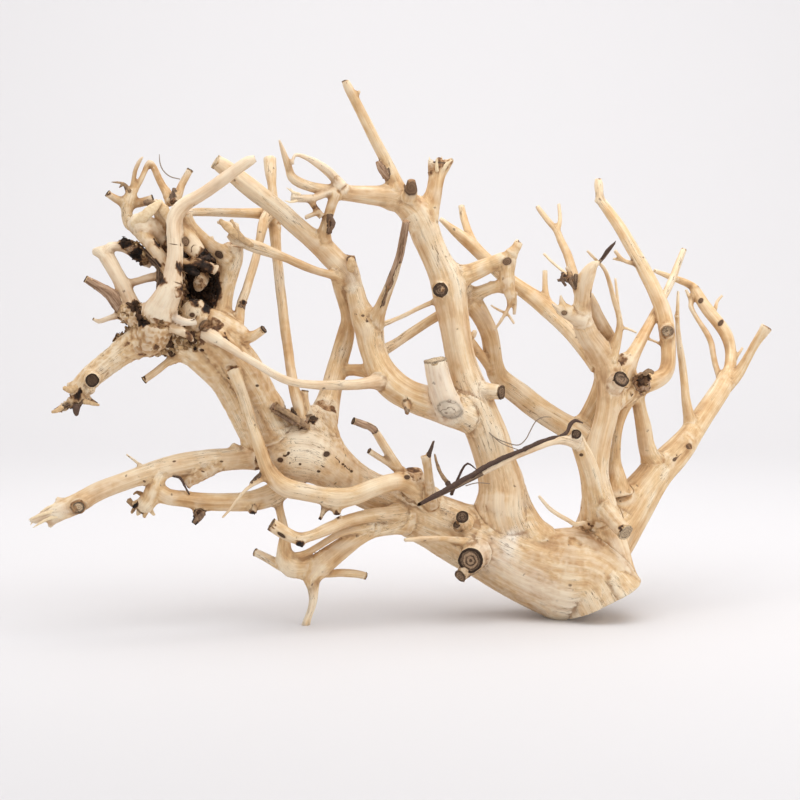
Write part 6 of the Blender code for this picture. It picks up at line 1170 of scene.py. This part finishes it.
def crumbs_of_bark(points, normals, crust, dark, stout, seed=7):
    """Ragged flakes of bark and rotten wood where the skin is crusty: each is a small ball, point(u, v), squeezed to
    a plate, bent by noise and half sunk in the skin. Crustier places get more and darker ones. Their darkness follows
    the skin's dark places, painted shade in the head's hollow included."""
    rng = np.random.default_rng(seed)
    chance = np.clip(crust, 0, 1)
    picks = rng.choice(len(points), FLAKES, replace=False, p=chance / chance.sum())
    centre, out = points[picks], unit(normals[picks])
    across = unit(np.cross(out, rng.normal(size=(FLAKES, 3))))
    turn = rng.uniform(-0.7, 0.7, FLAKES)[:, None]
    out, across = out * np.cos(turn) + across * np.sin(turn), across * np.cos(turn) - out * np.sin(turn)
    along = np.cross(out, across)
    size = rng.uniform(0.45, 1.0, FLAKES) ** 2 * (1.2 + 1.6 * crust[picks]) * stout[picks]
    half = np.stack([size * rng.uniform(0.7, 1.5, FLAKES), size * rng.uniform(0.5, 0.9, FLAKES),
                     size * rng.uniform(0.22, 0.5, FLAKES)], 1)
    rings, sides = 4, 8
    u = np.linspace(0.35, np.pi - 0.35, rings)[:, None]
    v = np.arange(sides) / sides * 2 * np.pi
    ball = np.stack([np.sin(u) * np.cos(v), np.sin(u) * np.sin(v), np.cos(u) + 0 * v], -1).reshape(-1, 3)
    ball = np.vstack([ball, [[0, 0, 1.0], [0, 0, -1.0]]])
    ball = np.sign(ball) * np.abs(ball) ** 0.75
    spread = ball[None] * half[:, None] * (1 + 0.35 * rng.normal(size=(FLAKES, len(ball), 1)).clip(-1, 1))
    grid = (centre[:, None] + spread[:, :, 0:1] * across[:, None] + spread[:, :, 1:2] * along[:, None]
            + (spread[:, :, 2:3] + 0.25 * size[:, None, None]) * out[:, None])
    index = np.arange(rings * sides).reshape(rings, sides)
    after = np.roll(index, -1, axis=1)
    quads = np.stack([index[:-1], index[1:], after[1:], after[:-1]], -1).reshape(-1, 4)
    poles = np.full(sides, rings * sides)
    tris = np.vstack([np.stack([index[0], after[0], poles], 1), np.stack([after[-1], index[-1], poles + 1], 1)])
    shift = (np.arange(FLAKES) * len(ball))[:, None, None]
    piece = piece_of(mesh_of("bark_crumbs", in_box(grid.reshape(-1, 3)), (quads[None] + shift).reshape(-1, 4),
                             (tris[None] + shift).reshape(-1, 3)))
    tint = np.clip(0.75 - 0.65 * dark[picks] + 0.25 * (1 - dark[picks]) * rng.normal(size=FLAKES), 0, 1)
    rows = np.stack([tint, np.arange(FLAKES), tint * 0], 1)
    write_attribute(piece.data, "sliver", np.repeat(rows, len(ball), axis=0))
    return piece


def neighbours_rise(mesh, points, normals):
    """How far each point's neighbours stand out from it along its normal, summed over three rings of neighbours."""
    edges = np.empty(len(mesh.edges) * 2, np.int32)
    mesh.edges.foreach_get("vertices", edges)
    one, two = edges.reshape(-1, 2).T
    rise = 0
    for _ in range(3):
        mean = neighbour_mean(points, np.r_[one, two], np.r_[two, one])
        rise = rise + ((mean - points) * normals).sum(1)
        points = mean
    return rise


def add_marks(points, normals, finish, dark, wander):
    """Adds the dark places and the long marks to the finish and the dark. Each fades out at its wandering edge."""
    a, c = across_up(points)
    for across, up, size, depth in DARK_PLACES:
        rows = frontmost(points, normals, across, up, size * 1.6)
        far = np.hypot(a[rows] - across, c[rows] - up) / size + 0.45 * wander[rows, 0]
        dark[rows] = np.maximum(dark[rows], depth * (1 - ramp(far, 0.45, 1.25)))
    for across, up, across_end, up_end, width, *amounts in STRIPS:
        run = np.array([across_end - across, up_end - up])
        long = np.hypot(*run)
        rows = frontmost(points, normals, (across + across_end) / 2, (up + up_end) / 2, long / 2 + width * 1.6)
        place = np.stack([a[rows] - across, c[rows] - up], 1)
        share = np.clip(place @ run / long ** 2, 0, 1)
        far = np.linalg.norm(place - share[:, None] * run, axis=1) / width + 0.4 * wander[rows, 0]
        mark = (1 - ramp(far, 0.4, 1.3))[:, None] * np.array(amounts)
        finish[rows, :3] = np.maximum(finish[rows, :3], mark[:, :3])
        dark[rows] = np.maximum(dark[rows], mark[:, 3])


def knots_on(points, normals, wander):
    """Each point's place in the nearest knot, in half lengths and half widths from its middle, then that knot's kind.
    Where no knot is near, the place is far off."""
    a, c = across_up(points)
    knot = np.tile([99.0, 99.0, 0.0], (len(points), 1))
    closest = np.full(len(points), 1e9)
    for across, up, long, wide, turn, kind in KNOTS:
        rows = frontmost(points, normals, across, up, long * 1.5 + 4)
        turn = math.radians(turn)
        bend = 0.16 * min(wide, 5.0) * wander[rows]
        da, dc = a[rows] - across + bend[:, 0], c[rows] - up + bend[:, 1]
        u = (da * math.cos(turn) + dc * math.sin(turn)) / long
        v = (dc * math.cos(turn) - da * math.sin(turn)) / wide
        far = np.hypot(da, dc) / long
        better = far < closest[rows]
        rows, u, v, far = rows[better], u[better], v[better], far[better]
        closest[rows] = far
        knot[rows] = np.stack([u, v, np.full(len(rows), kind)], 1)
    return knot


def mark_skin(skin, wood):
    """Writes what the wood's material follows: the straightened grain, with a shift for each limb, the finish, forks,
    hollows, dark places and knots. Gives what the crumbs of bark follow."""
    points = vertex_array(skin.data) * METRE
    normals = vertex_array(skin.data, "normal")
    first, second, gap = wood.nearest(points)
    straight = wood.straightened(points, first)
    radius = straight.radius
    limb = wood.limb[first]
    finish = wood.finish[first]
    wander = sum(share * np.stack([lattice_noise(points / size, seed) for seed in seeds], 1)
                 for share, size, seeds in ((1, 4.0, (21, 22)), (0.5, 1.7, (23, 24))))

    # Forks, less on stout limbs. Hollows: thin limbs curve away all round, so they get a little back.
    forks = ramp(closeness(wood, radius, second, gap)[0], 0.35, 1.0) * np.clip(14 / radius, 0.4, 1)
    # The material darkens hollows with painted shade and paints high places paler, as wear and painted highlight.
    hollow = np.clip(neighbours_rise(skin.data, points, normals) / 0.6 + 0.35 * np.minimum(3.0 / radius, 1), -1, 1)

    # Dark: black painted shade on what faces the front in and about the head's hollow, painted shade in the sunk
    # parts of rough wood, the hollow's wall painted near-black as shade, marks, and ends of limbs.
    sunk = ramp(-crumbling(points), 0.1, 1.2) * ramp(finish[:, 3], 0.3, 1.1)
    painted_head_shade = finish[:, 5] * (1 + 0.25 * wander[:, 0]) * (1 - 0.65 * ramp(normals[:, 1], 0.1, 0.7))
    a, c = across_up(points)
    far = np.hypot((a - HOLLOW[0]) / HOLLOW[2], (c - HOLLOW[1]) / HOLLOW[3]) + 0.15 * wander[:, 0]
    wall = limb == wood.names.index("head_right_wall")
    dark = np.maximum.reduce([painted_head_shade, 0.62 * sunk, 0.95 * wall * (1 - ramp(far, 0.8, 1.15))])
    add_marks(points, normals, finish, dark, wander)
    beyond = straight.along - wood.along[first] + 0.5 * wander[:, 1]
    ends = (first == wood.stop[limb]) & (wood.radius[first] > 1.4)
    dirty = np.array([min(STUBS.get(name, (1, 0, 1))[2] * 1.6, 1) for name in wood.names])[limb]
    dark = np.maximum(dark, 0.42 * dirty * ends * ramp(beyond, -0.9, 0.4))

    write_attribute(skin.data, "grain", np.stack([straight.x + limb * 37.0, straight.y, straight.along], 1))
    write_attribute(skin.data, "finish", finish[:, :3])
    write_attribute(skin.data, "wear_and_shade", np.stack([np.maximum(forks, finish[:, 4]), hollow, dark], 1))
    write_attribute(skin.data, "knot", knots_on(points, normals, wander))
    crust = np.clip(0.75 * finish[:, 3] + 0.5 * finish[:, 0] + 0.75 * dark - 0.5, 0, 1)
    return points, normals, crust, np.clip(dark, 0, 1), np.clip(radius / 6, 0.2, 1)


def new_material(name):
    """A new node material, and the function that adds a node to its tree."""
    material = bpy.data.materials.new(name)
    material.use_nodes = True
    return material, partial(add_node, material.node_tree)


def set_surface(material, colour, roughness, specular=0.5, normal=None):
    """Fills the sockets of a material's own shader, where a colour or a normal may be a link."""
    tree = material.node_tree
    sockets = tree.nodes["Principled BSDF"].inputs
    fill(tree, sockets["Base Color"], colour)
    sockets["Roughness"].default_value = roughness
    sockets["Specular IOR Level"].default_value = specular
    if normal:
        fill(tree, sockets["Normal"], normal)
    return material


def peeled_root_wood():
    """Peeled, sun-dried root wood. Bark and soft outer wood were stripped off and the surface weathered dry, which
    leaves matt cream wood with tan streaks along the grain, fine fibres, drying cracks, pin-sized pits, ringed knots
    and scraps of dark bark. Also painted: brown painted shade in the hollows, high places paler as wear and painted
    highlight, near-black painted shade in the head's hollow, and black painted shade in holes."""
    material, add = new_material("peeled_root_wood")
    grain, finish, wear_and_shade, knot = [
        add("Attribute", attribute_name=name).outputs["Vector"] for name in ("grain", "finish", "wear_and_shade", "knot")]
    finish, wear_and_shade, knot = [add("SeparateXYZ", rows).outputs for rows in (finish, wear_and_shade, knot)]
    place = add("TexCoord").outputs["Object"]

    # Noise on the straightened grain, which is in millimetres: streaks 3 mm wide and 70 mm long, fibres 0.8 by 22,
    # splits 2.4 by 60 and scales of bark 1.4 by 17. Then noise in place: patches of 38 mm, mottle of 6 mm and specks
    # of 1.6 mm.
    streak, fibre, split, scale = [
        add("TexNoise", add("Mapping", grain, Scale=(fine, fine, long)), Scale=1.0, Detail=detail, Roughness=rough)
        for fine, long, detail, rough in (
            (0.3, 0.014, 4.0, 0.62), (1.25, 0.045, 2.0, 0.5), (0.42, 0.017, 3.0, 0.55), (0.7, 0.06, 4.0, 0.7))]
    patch, mottle, speck = [
        add("TexNoise", place, Scale=size, Detail=detail, Roughness=rough)
        for size, detail, rough in ((26.0, 3.0, 0.5), (170.0, 4.0, 0.6), (620.0, 2.0, 0.5))]
    loose = add("Math SUBTRACT", mottle, 0.5)

    # Streaks along the grain, which break into mottle where limbs join.
    streak = add("Mix", wear_and_shade[0], streak, mottle)
    tone = add("Math MULTIPLY", streak, 0.46)
    tone = add("Math MULTIPLY_ADD", patch, 0.38, tone)
    tone = add("Math MULTIPLY_ADD", mottle, 0.16, tone)
    colour = add("ValToRGB", tone, stops=(
        (0.33, "#AE8556"), (0.43, "#CEA779"), (0.52, "#E0C297"), (0.63, "#F0DFC2")))

    # Dark fibres, greyed patches, then stained and bleached places, painted shade in hollows, and high places painted
    # paler as wear and highlight.
    for source, low, high, start, end, share, tint in (
            (fibre, 0.38, 0.6, 0.26, 0.0, 1.0, "#A37C52"), (patch, 0.56, 0.68, 0.0, 0.35, 1.0, "#E3D5C0"),
            (streak, 0.3, 0.7, 1.0, 0.6, finish[1], "#A27C56"), (streak, 0.3, 0.6, 0.4, 0.95, finish[2], "#E9E0D3"),
            (wear_and_shade[1], 0.05, 0.7, 0.0, 0.65, 1.0, "#8E6540"), (wear_and_shade[1], -0.1, -0.7, 0.0, 0.5, 1.0, "#EBDDC4")):
        amount = add("Math MULTIPLY", add("MapRange", source, low, high, start, end), share)
        colour = add("Mix RGBA", amount, colour, tint)

    # Drying cracks along the grain, where the split noise crosses its middle, and pits of 1 mm in a quarter of the
    # cells, which are 8 mm wide.
    crack = add("Math ABSOLUTE", add("Math SUBTRACT", split, 0.5))
    crack = add("MapRange", crack, 0.003, 0.011, 1.0, 0.0)
    crack = add("Math MULTIPLY", crack, add("MapRange", patch, 0.50, 0.60, 0.0, 0.85))
    colour = add("Mix RGBA", crack, colour, "#6E5038")
    bend = add("TexNoise", place, Scale=300.0).outputs["Color"]
    bent = add("VectorMath MULTIPLY_ADD", bend, (0.004, 0.004, 0.004), place)
    cells = add("TexVoronoi", bent, Scale=130.0)
    chosen = add("MapRange", add("SeparateColor", cells.outputs["Color"]).outputs[0], 0.74, 0.80)
    pit = add("MapRange", cells.outputs["Distance"], 0.06, 0.16, 1.0, 0.0)
    pit = add("Math MULTIPLY", pit, chosen)
    colour = add("Mix RGBA", add("Math MULTIPLY", pit, 0.75), colour, "#5A4230")

    # Ringed knots: a spiral of rings inside an uneven dark rim, from a pale scar with hair cracks to a hole whose
    # shade is painted near-black, and a brown halo around each.
    across, up, kind = knot
    flat = add("CombineXYZ", across, up)
    out = add("Math MULTIPLY_ADD", loose, 0.35, add("VectorMath LENGTH", flat).outputs["Value"])
    rings = add("Math MULTIPLY_ADD", out, 15.0, add("Math ARCTAN2", up, across))
    rings = add("Math MULTIPLY_ADD", loose, 3.0, add("Math SINE", rings))
    ringed = add("MapRange", kind, 0.02, 0.25)
    ring = add("Math MULTIPLY", add("MapRange", rings, 0.0, 1.0, 0.7, 0.0), ringed)
    rim = add("Math MULTIPLY", add("MapRange", out, 0.68, 0.92), add("MapRange", patch, 0.40, 0.56, 0.35, 1.0))
    rim = add("Math MULTIPLY", rim, add("MapRange", ringed, i3=0.4, i4=1.0))
    check = add("TexNoise", place, Scale=130.0, Detail=1.5, Distortion=1.0)
    check = add("Math ABSOLUTE", add("Math SUBTRACT", check, 0.5))
    check = add("MapRange", check, 0.008, 0.03, 0.8, 0.0)
    check = add("Math MULTIPLY", check, add("MapRange", kind, 0.05, 0.2, 1.0, 0.0))
    face = add("ValToRGB", kind, stops=(
        (0.0, "#DDD1BE"), (0.3, "#B3926E"), (0.55, "#86694F"), (0.8, "#4A3425"), (1.0, "#21160F")))
    for amount, tint in ((ring, "#5B412E"), (rim, "#3A281C"), (check, "#6B5645")):
        face = add("Mix RGBA", amount, face, tint)
    halo = add("MapRange", out, 1.5, 1.02, 0.0, 0.5)
    halo = add("Math MULTIPLY", halo, add("MapRange", kind, 0.0, 0.6, 0.25, 1.0))
    colour = add("Mix RGBA", halo, colour, "#9A7451")
    inside = add("MapRange", out, 0.90, 1.08, 1.0, 0.0)
    colour = add("Mix RGBA", add("Math MULTIPLY", inside, 0.96), colour, face)

    # Scraps of bark, then dirt, rot and painted shade in the dark places, near black in the head's hollow.
    bark = add("ValToRGB", scale, stops=(
        (0.32, "#2A1E17"), (0.46, "#54402F"), (0.56, "#7C6450"), (0.68, "#A08870")))
    worn = add("ValToRGB", scale, stops=(
        (0.34, "#6B4F39"), (0.46, "#93745A"), (0.56, "#AC8E74"), (0.68, "#C0A58C")))
    bark = add("Mix RGBA", add("MapRange", finish[1], 0.65, 0.85), bark, worn)
    left = add("MapRange", add("Math MULTIPLY_ADD", loose, 1.0, finish[0]), 0.40, 0.56)
    colour = add("Mix RGBA", left, colour, bark)
    dirt = add("Math MULTIPLY_ADD", loose, 1.2, wear_and_shade[2])
    rot = add("ValToRGB", dirt, stops=(
        (0.40, "#A37B53"), (0.52, "#6F4E35"), (0.72, "#3A281C"), (0.95, "#170F0B")))
    colour = add("Mix RGBA", add("MapRange", dirt, 0.26, 0.46), colour, rot)

    # The same marks as heights, in millimetres.
    height = add("Math MULTIPLY", streak, 0.5)
    for source, share in ((fibre, 0.35), (speck, 0.12), (crack, -0.5), (pit, -0.5)):
        height = add("Math MULTIPLY_ADD", source, share, height)
    knotted = add("Math MULTIPLY_ADD", rings, 0.10, add("Math MULTIPLY", kind, -1.1))
    height = add("Math MULTIPLY_ADD", knotted, inside, height)
    crusty = add("Math MULTIPLY", add("Math MULTIPLY_ADD", finish[0], 1.6, wear_and_shade[2]), mottle)
    height = add("Math ADD", crusty, height)
    bump = add("Bump", Strength=0.55, Distance=MM, Height=height)
    return set_surface(material, colour, 0.74, 0.3, bump)


def stub_end_grain():
    """Old cut faces of side shoots. Saw or break left end grain, whose rings have dried, split and gathered dirt: a
    dull grey-brown face with dark, broken growth rings, checks that run outwards and a darker rim of old bark."""
    material, add = new_material("stub_end_grain")
    rings = add("SeparateXYZ", add("Attribute", attribute_name="rings").outputs["Vector"]).outputs
    place = add("TexCoord").outputs["Object"]
    # Mottle of 3 mm, patches of 11 mm, and checks where noise of 4 mm crosses its middle.
    mottle = add("TexNoise", place, Scale=330.0, Detail=4.0, Roughness=0.65)
    patch = add("TexNoise", place, Scale=90.0, Detail=2.0)
    bent = add("Math MULTIPLY_ADD", add("Math SUBTRACT", mottle, 0.5), 0.35, rings[0])
    wave = add("Math SINE", add("Math MULTIPLY", bent, 20.0))
    pits = add("MapRange", mottle, 0.5, 0.6, 0.0, 0.85)
    pits = add("Math MULTIPLY", pits, add("MapRange", rings[1], 0.15, 0.5, 1.0, 0.0))
    lines = add("MapRange", wave, -0.1, 0.7, 0.0, 0.9)
    for source, low, high, start, end in ((patch, 0.36, 0.52, 0.3, 1.0), (rings[1], 0.6, 0.9, 1.0, 0.3)):
        lines = add("Math MULTIPLY", lines, add("MapRange", source, low, high, start, end))
    checks = add("TexNoise", place, Scale=240.0, Detail=1.0, Distortion=1.5)
    checks = add("Math ABSOLUTE", add("Math SUBTRACT", checks, 0.5))
    checks = add("MapRange", checks, 0.01, 0.03, 0.7, 0.0)
    rim = add("Math MULTIPLY", add("MapRange", bent, 0.70, 0.86), rings[2])
    face = add("ValToRGB", rings[1], stops=(
        (0.0, "#54402F"), (0.3, "#8F755D"), (0.7, "#C2A382"), (1.0, "#E0C8A6")))
    for amount, tint in ((add("MapRange", patch, 0.4, 0.65, 0.0, 0.4), "#7B6450"), (pits, "#241A13"),
                         (lines, "#4B382B"), (checks, "#33261D"), (rim, "#33251B")):
        face = add("Mix RGBA", amount, face, tint)
    wood = add("Mix RGBA", add("MapRange", mottle, 0.4, 0.62), "#A88761", "#D6BA92")
    colour = add("Mix RGBA", add("MapRange", rings[0], 1.12, 1.19), face, wood)
    height = add("Math MULTIPLY_ADD", lines, -0.5, mottle)
    height = add("Math MULTIPLY_ADD", checks, -0.6, height)
    bump = add("Bump", Strength=0.6, Distance=MM, Height=height)
    return set_surface(material, colour, 0.8, 0.25, bump)


def torn_fibre_and_bark():
    """Torn splinters, bark scraps and root hairs. Tearing left pale fibres, old bark dried to a dark ribbed brown and
    fine hairs bleached grey, so the colour goes by the kind of scrap, with 2 mm mottle and a dry surface."""
    material, add = new_material("torn_fibre_and_bark")
    kind = add("SeparateXYZ", add("Attribute", attribute_name="sliver").outputs["Vector"]).outputs
    place = add("TexCoord").outputs["Object"]
    mottle = add("TexNoise", place, Scale=420.0, Detail=4.0, Roughness=0.65)
    loose = add("Math SUBTRACT", mottle, 0.5)
    tone = add("Math MULTIPLY_ADD", loose, 0.35, add("Math MULTIPLY", kind[0], 0.5))
    colour = add("ValToRGB", tone, stops=(
        (0.0, "#E4CFAC"), (0.14, "#CBAA80"), (0.36, "#6E5644"),
        (0.5, "#4A3830"), (0.68, "#5D4C40"), (0.9, "#8C7C6C")))
    bump = add("Bump", Strength=0.5, Distance=0.0006, Height=mottle)
    return set_surface(material, colour, 0.8, 0.25, bump)


def rotten_crumbs():
    """Crumbs of bark and rotten wood. Rot broke the wood into blunt grains that hold black soil, so each crumb is
    near black, umber or tan, with 2 mm mottle and no sheen."""
    material, add = new_material("rotten_crumbs")
    kind = add("SeparateXYZ", add("Attribute", attribute_name="sliver").outputs["Vector"]).outputs
    place = add("TexCoord").outputs["Object"]
    mottle = add("TexNoise", place, Scale=500.0, Detail=3.0)
    tone = add("Math MULTIPLY_ADD", add("Math SUBTRACT", mottle, 0.5), 0.5, kind[0])
    colour = add("ValToRGB", tone, stops=(
        (0.1, "#211812"), (0.35, "#523B2B"), (0.6, "#93734F"), (0.85, "#C9A97E")))
    return set_surface(material, colour, 0.9, 0.15)


def sawn_end_grain():
    """The sawn butt. A saw cut across the grain left flat end grain: growth rings of 1.7 mm, wavering about an
    off-centre pith, and a duller, darker tan than the peeled side, darkest in mottle of 3 mm."""
    material, add = new_material("sawn_end_grain")
    place = add("TexCoord").outputs["Object"]
    middle = add("VectorMath SUBTRACT", place, (0.024, 0.004, 0.012))
    bend = add("TexNoise", place, Scale=60.0, Detail=2.0).outputs["Color"]
    bent = add("VectorMath MULTIPLY_ADD", bend, (0.006, 0.006, 0.006), middle)
    far = add("VectorMath LENGTH", bent).outputs["Value"]
    wave = add("Math SINE", add("Math MULTIPLY", far, 3600.0))
    mottle = add("TexNoise", place, Scale=300.0, Detail=4.0)
    colour = add("Mix RGBA", add("MapRange", wave, 0.2, 1.0, 0.0, 0.5), "#C9A878", "#9A7448")
    colour = add("Mix RGBA", add("MapRange", mottle, 0.5, 0.7, 0.0, 0.5), colour, "#8A6A45")
    bump = add("Bump", Strength=0.3, Distance=0.0005, Height=mottle)
    return set_surface(material, colour, 0.8, 0.5, bump)


# The studio's floor, in millimetres: its front edge, where it starts to curve up, the curve's radius, how far the
# backdrop rises above the curve, and the half width. It has so many rows and columns of points.
FLOOR_FRONT, FLOOR_BEND, BEND_RADIUS, BACKDROP_RISE, FLOOR_SIDE = -2500, 1000, 900, 2200, 3200
FLOOR_GRID = (60, 9)

# The studio's lamps: place, target and width in metres, then power in watts.
LAMPS = {
    "softbox_above": ((0.05, -0.1, 1.6), (-0.09, 0.0, 0.14), 2.0, 12.5),
    "softbox_left": ((-1.6, -1.5, 1.1), (-0.09, 0.0, 0.14), 1.6, 5.0),
    "softbox_right": ((1.6, -0.9, 0.8), (0.05, 0.0, 0.12), 1.6, 12.0),
    "backdrop_light": ((-0.2, 0.3, 1.6), (0.0, 1.85, 0.7), 2.2, 14.0),
}


def studio_paper():
    """Backdrop paper. Uncoated pulp rolled smooth: an even light grey with no gloss."""
    return set_surface(new_material("studio_paper")[0], "#D6D4D5", 0.7)


def studio_floor():
    """A pale floor that curves up into a backdrop: a level run, a quarter turn and an upright run, carried straight
    across."""
    run = np.linspace(0, 1, FLOOR_GRID[0])
    turn = np.clip((run - 0.5) / 0.3, 0, 1) * np.pi / 2
    level = FLOOR_FRONT + run * 2 * (FLOOR_BEND - FLOOR_FRONT)
    depth = np.where(run < 0.5, level, FLOOR_BEND + BEND_RADIUS * np.sin(turn))
    height = np.where(run < 0.5, 0, BEND_RADIUS * (1 - np.cos(turn))) + np.clip(run - 0.8, 0, 1) / 0.2 * BACKDROP_RISE
    across = np.linspace(-FLOOR_SIDE, FLOOR_SIDE, FLOOR_GRID[1])
    grid = np.stack(np.broadcast_arrays(across, depth[:, None], height[:, None]), -1)
    index = np.arange(math.prod(FLOOR_GRID)).reshape(FLOOR_GRID)
    quads = np.stack([index[:-1, :-1], index[:-1, 1:], index[1:, 1:], index[1:, :-1]], -1).reshape(-1, 4)
    floor = piece_of(mesh_of("studio_floor", grid.reshape(-1, 3), quads))
    floor.data.shade_smooth()
    floor.data.materials.append(studio_paper())
    return floor


def set_up_studio():
    """The floor, faint light from all around, wide lamps, and the viewer's eye."""
    studio_floor()
    world = bpy.data.worlds.new("studio_air")
    bpy.context.scene.world = world
    world.use_nodes = True
    air = world.node_tree.nodes["Background"].inputs
    air["Color"].default_value = (1.0, 0.995, 1.0, 1.0)
    air["Strength"].default_value = 0.76
    bpy.context.scene.view_settings.view_transform = "Standard"
    for name, (place, target, size, power) in LAMPS.items():
        lamp = bpy.data.lights.new(name, "AREA")
        lamp.shape = "DISK"
        lamp.size = size
        lamp.energy = power
        holder = bpy.data.objects.new(name, lamp)
        holder.location = place
        aim = unit(np.array(target) - np.array(place))
        holder.rotation_euler = (math.acos(-aim[2]), 0.0, math.atan2(-aim[0], aim[1]))
        bpy.context.scene.collection.objects.link(holder)
    eye = bpy.data.cameras.new("viewer")
    eye.lens = 90.0
    eye.sensor_width = 36.0
    eye.clip_end = 20.0
    camera = bpy.data.objects.new("viewer", eye)
    camera.location = (
        -FOOT[0] * MM,
        (-FOOT[1] * math.sin(VIEW_TILT) - VIEW_DISTANCE * math.cos(VIEW_TILT)) * MM,
        (-FOOT[1] * math.cos(VIEW_TILT) + VIEW_DISTANCE * math.sin(VIEW_TILT)) * MM)
    camera.rotation_euler = (math.pi / 2 - VIEW_TILT, 0.0, 0.0)
    bpy.context.scene.collection.objects.link(camera)
    bpy.context.scene.camera = camera


def dress():
    """Grows every piece and sets it on the root's body."""
    wood = Wood()
    skin = grow_skin(wood)
    peeled, sawn = 0, 1
    saw_flat(skin, SAW_SET_OUT * SAW_NORMAL, SAW_NORMAL, sawn)
    saw_flat(skin, (0, 0, 0), (0, 0, -1), peeled)
    skin.data.shade_smooth()
    crust = mark_skin(skin, wood)
    skin.data.materials.append(peeled_root_wood())
    skin.data.materials.append(sawn_end_grain())
    pieces = ((stub_ends(wood), stub_end_grain()), (slivers(), torn_fibre_and_bark()),
              (crumbs_of_bark(*crust), rotten_crumbs()))
    for piece, material in pieces:
        piece.data.materials.append(material)
        piece.data.shade_smooth()
        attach(piece, "root")
    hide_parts("driftwood_root")
    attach(skin, "root")
    set_up_studio()


dress()
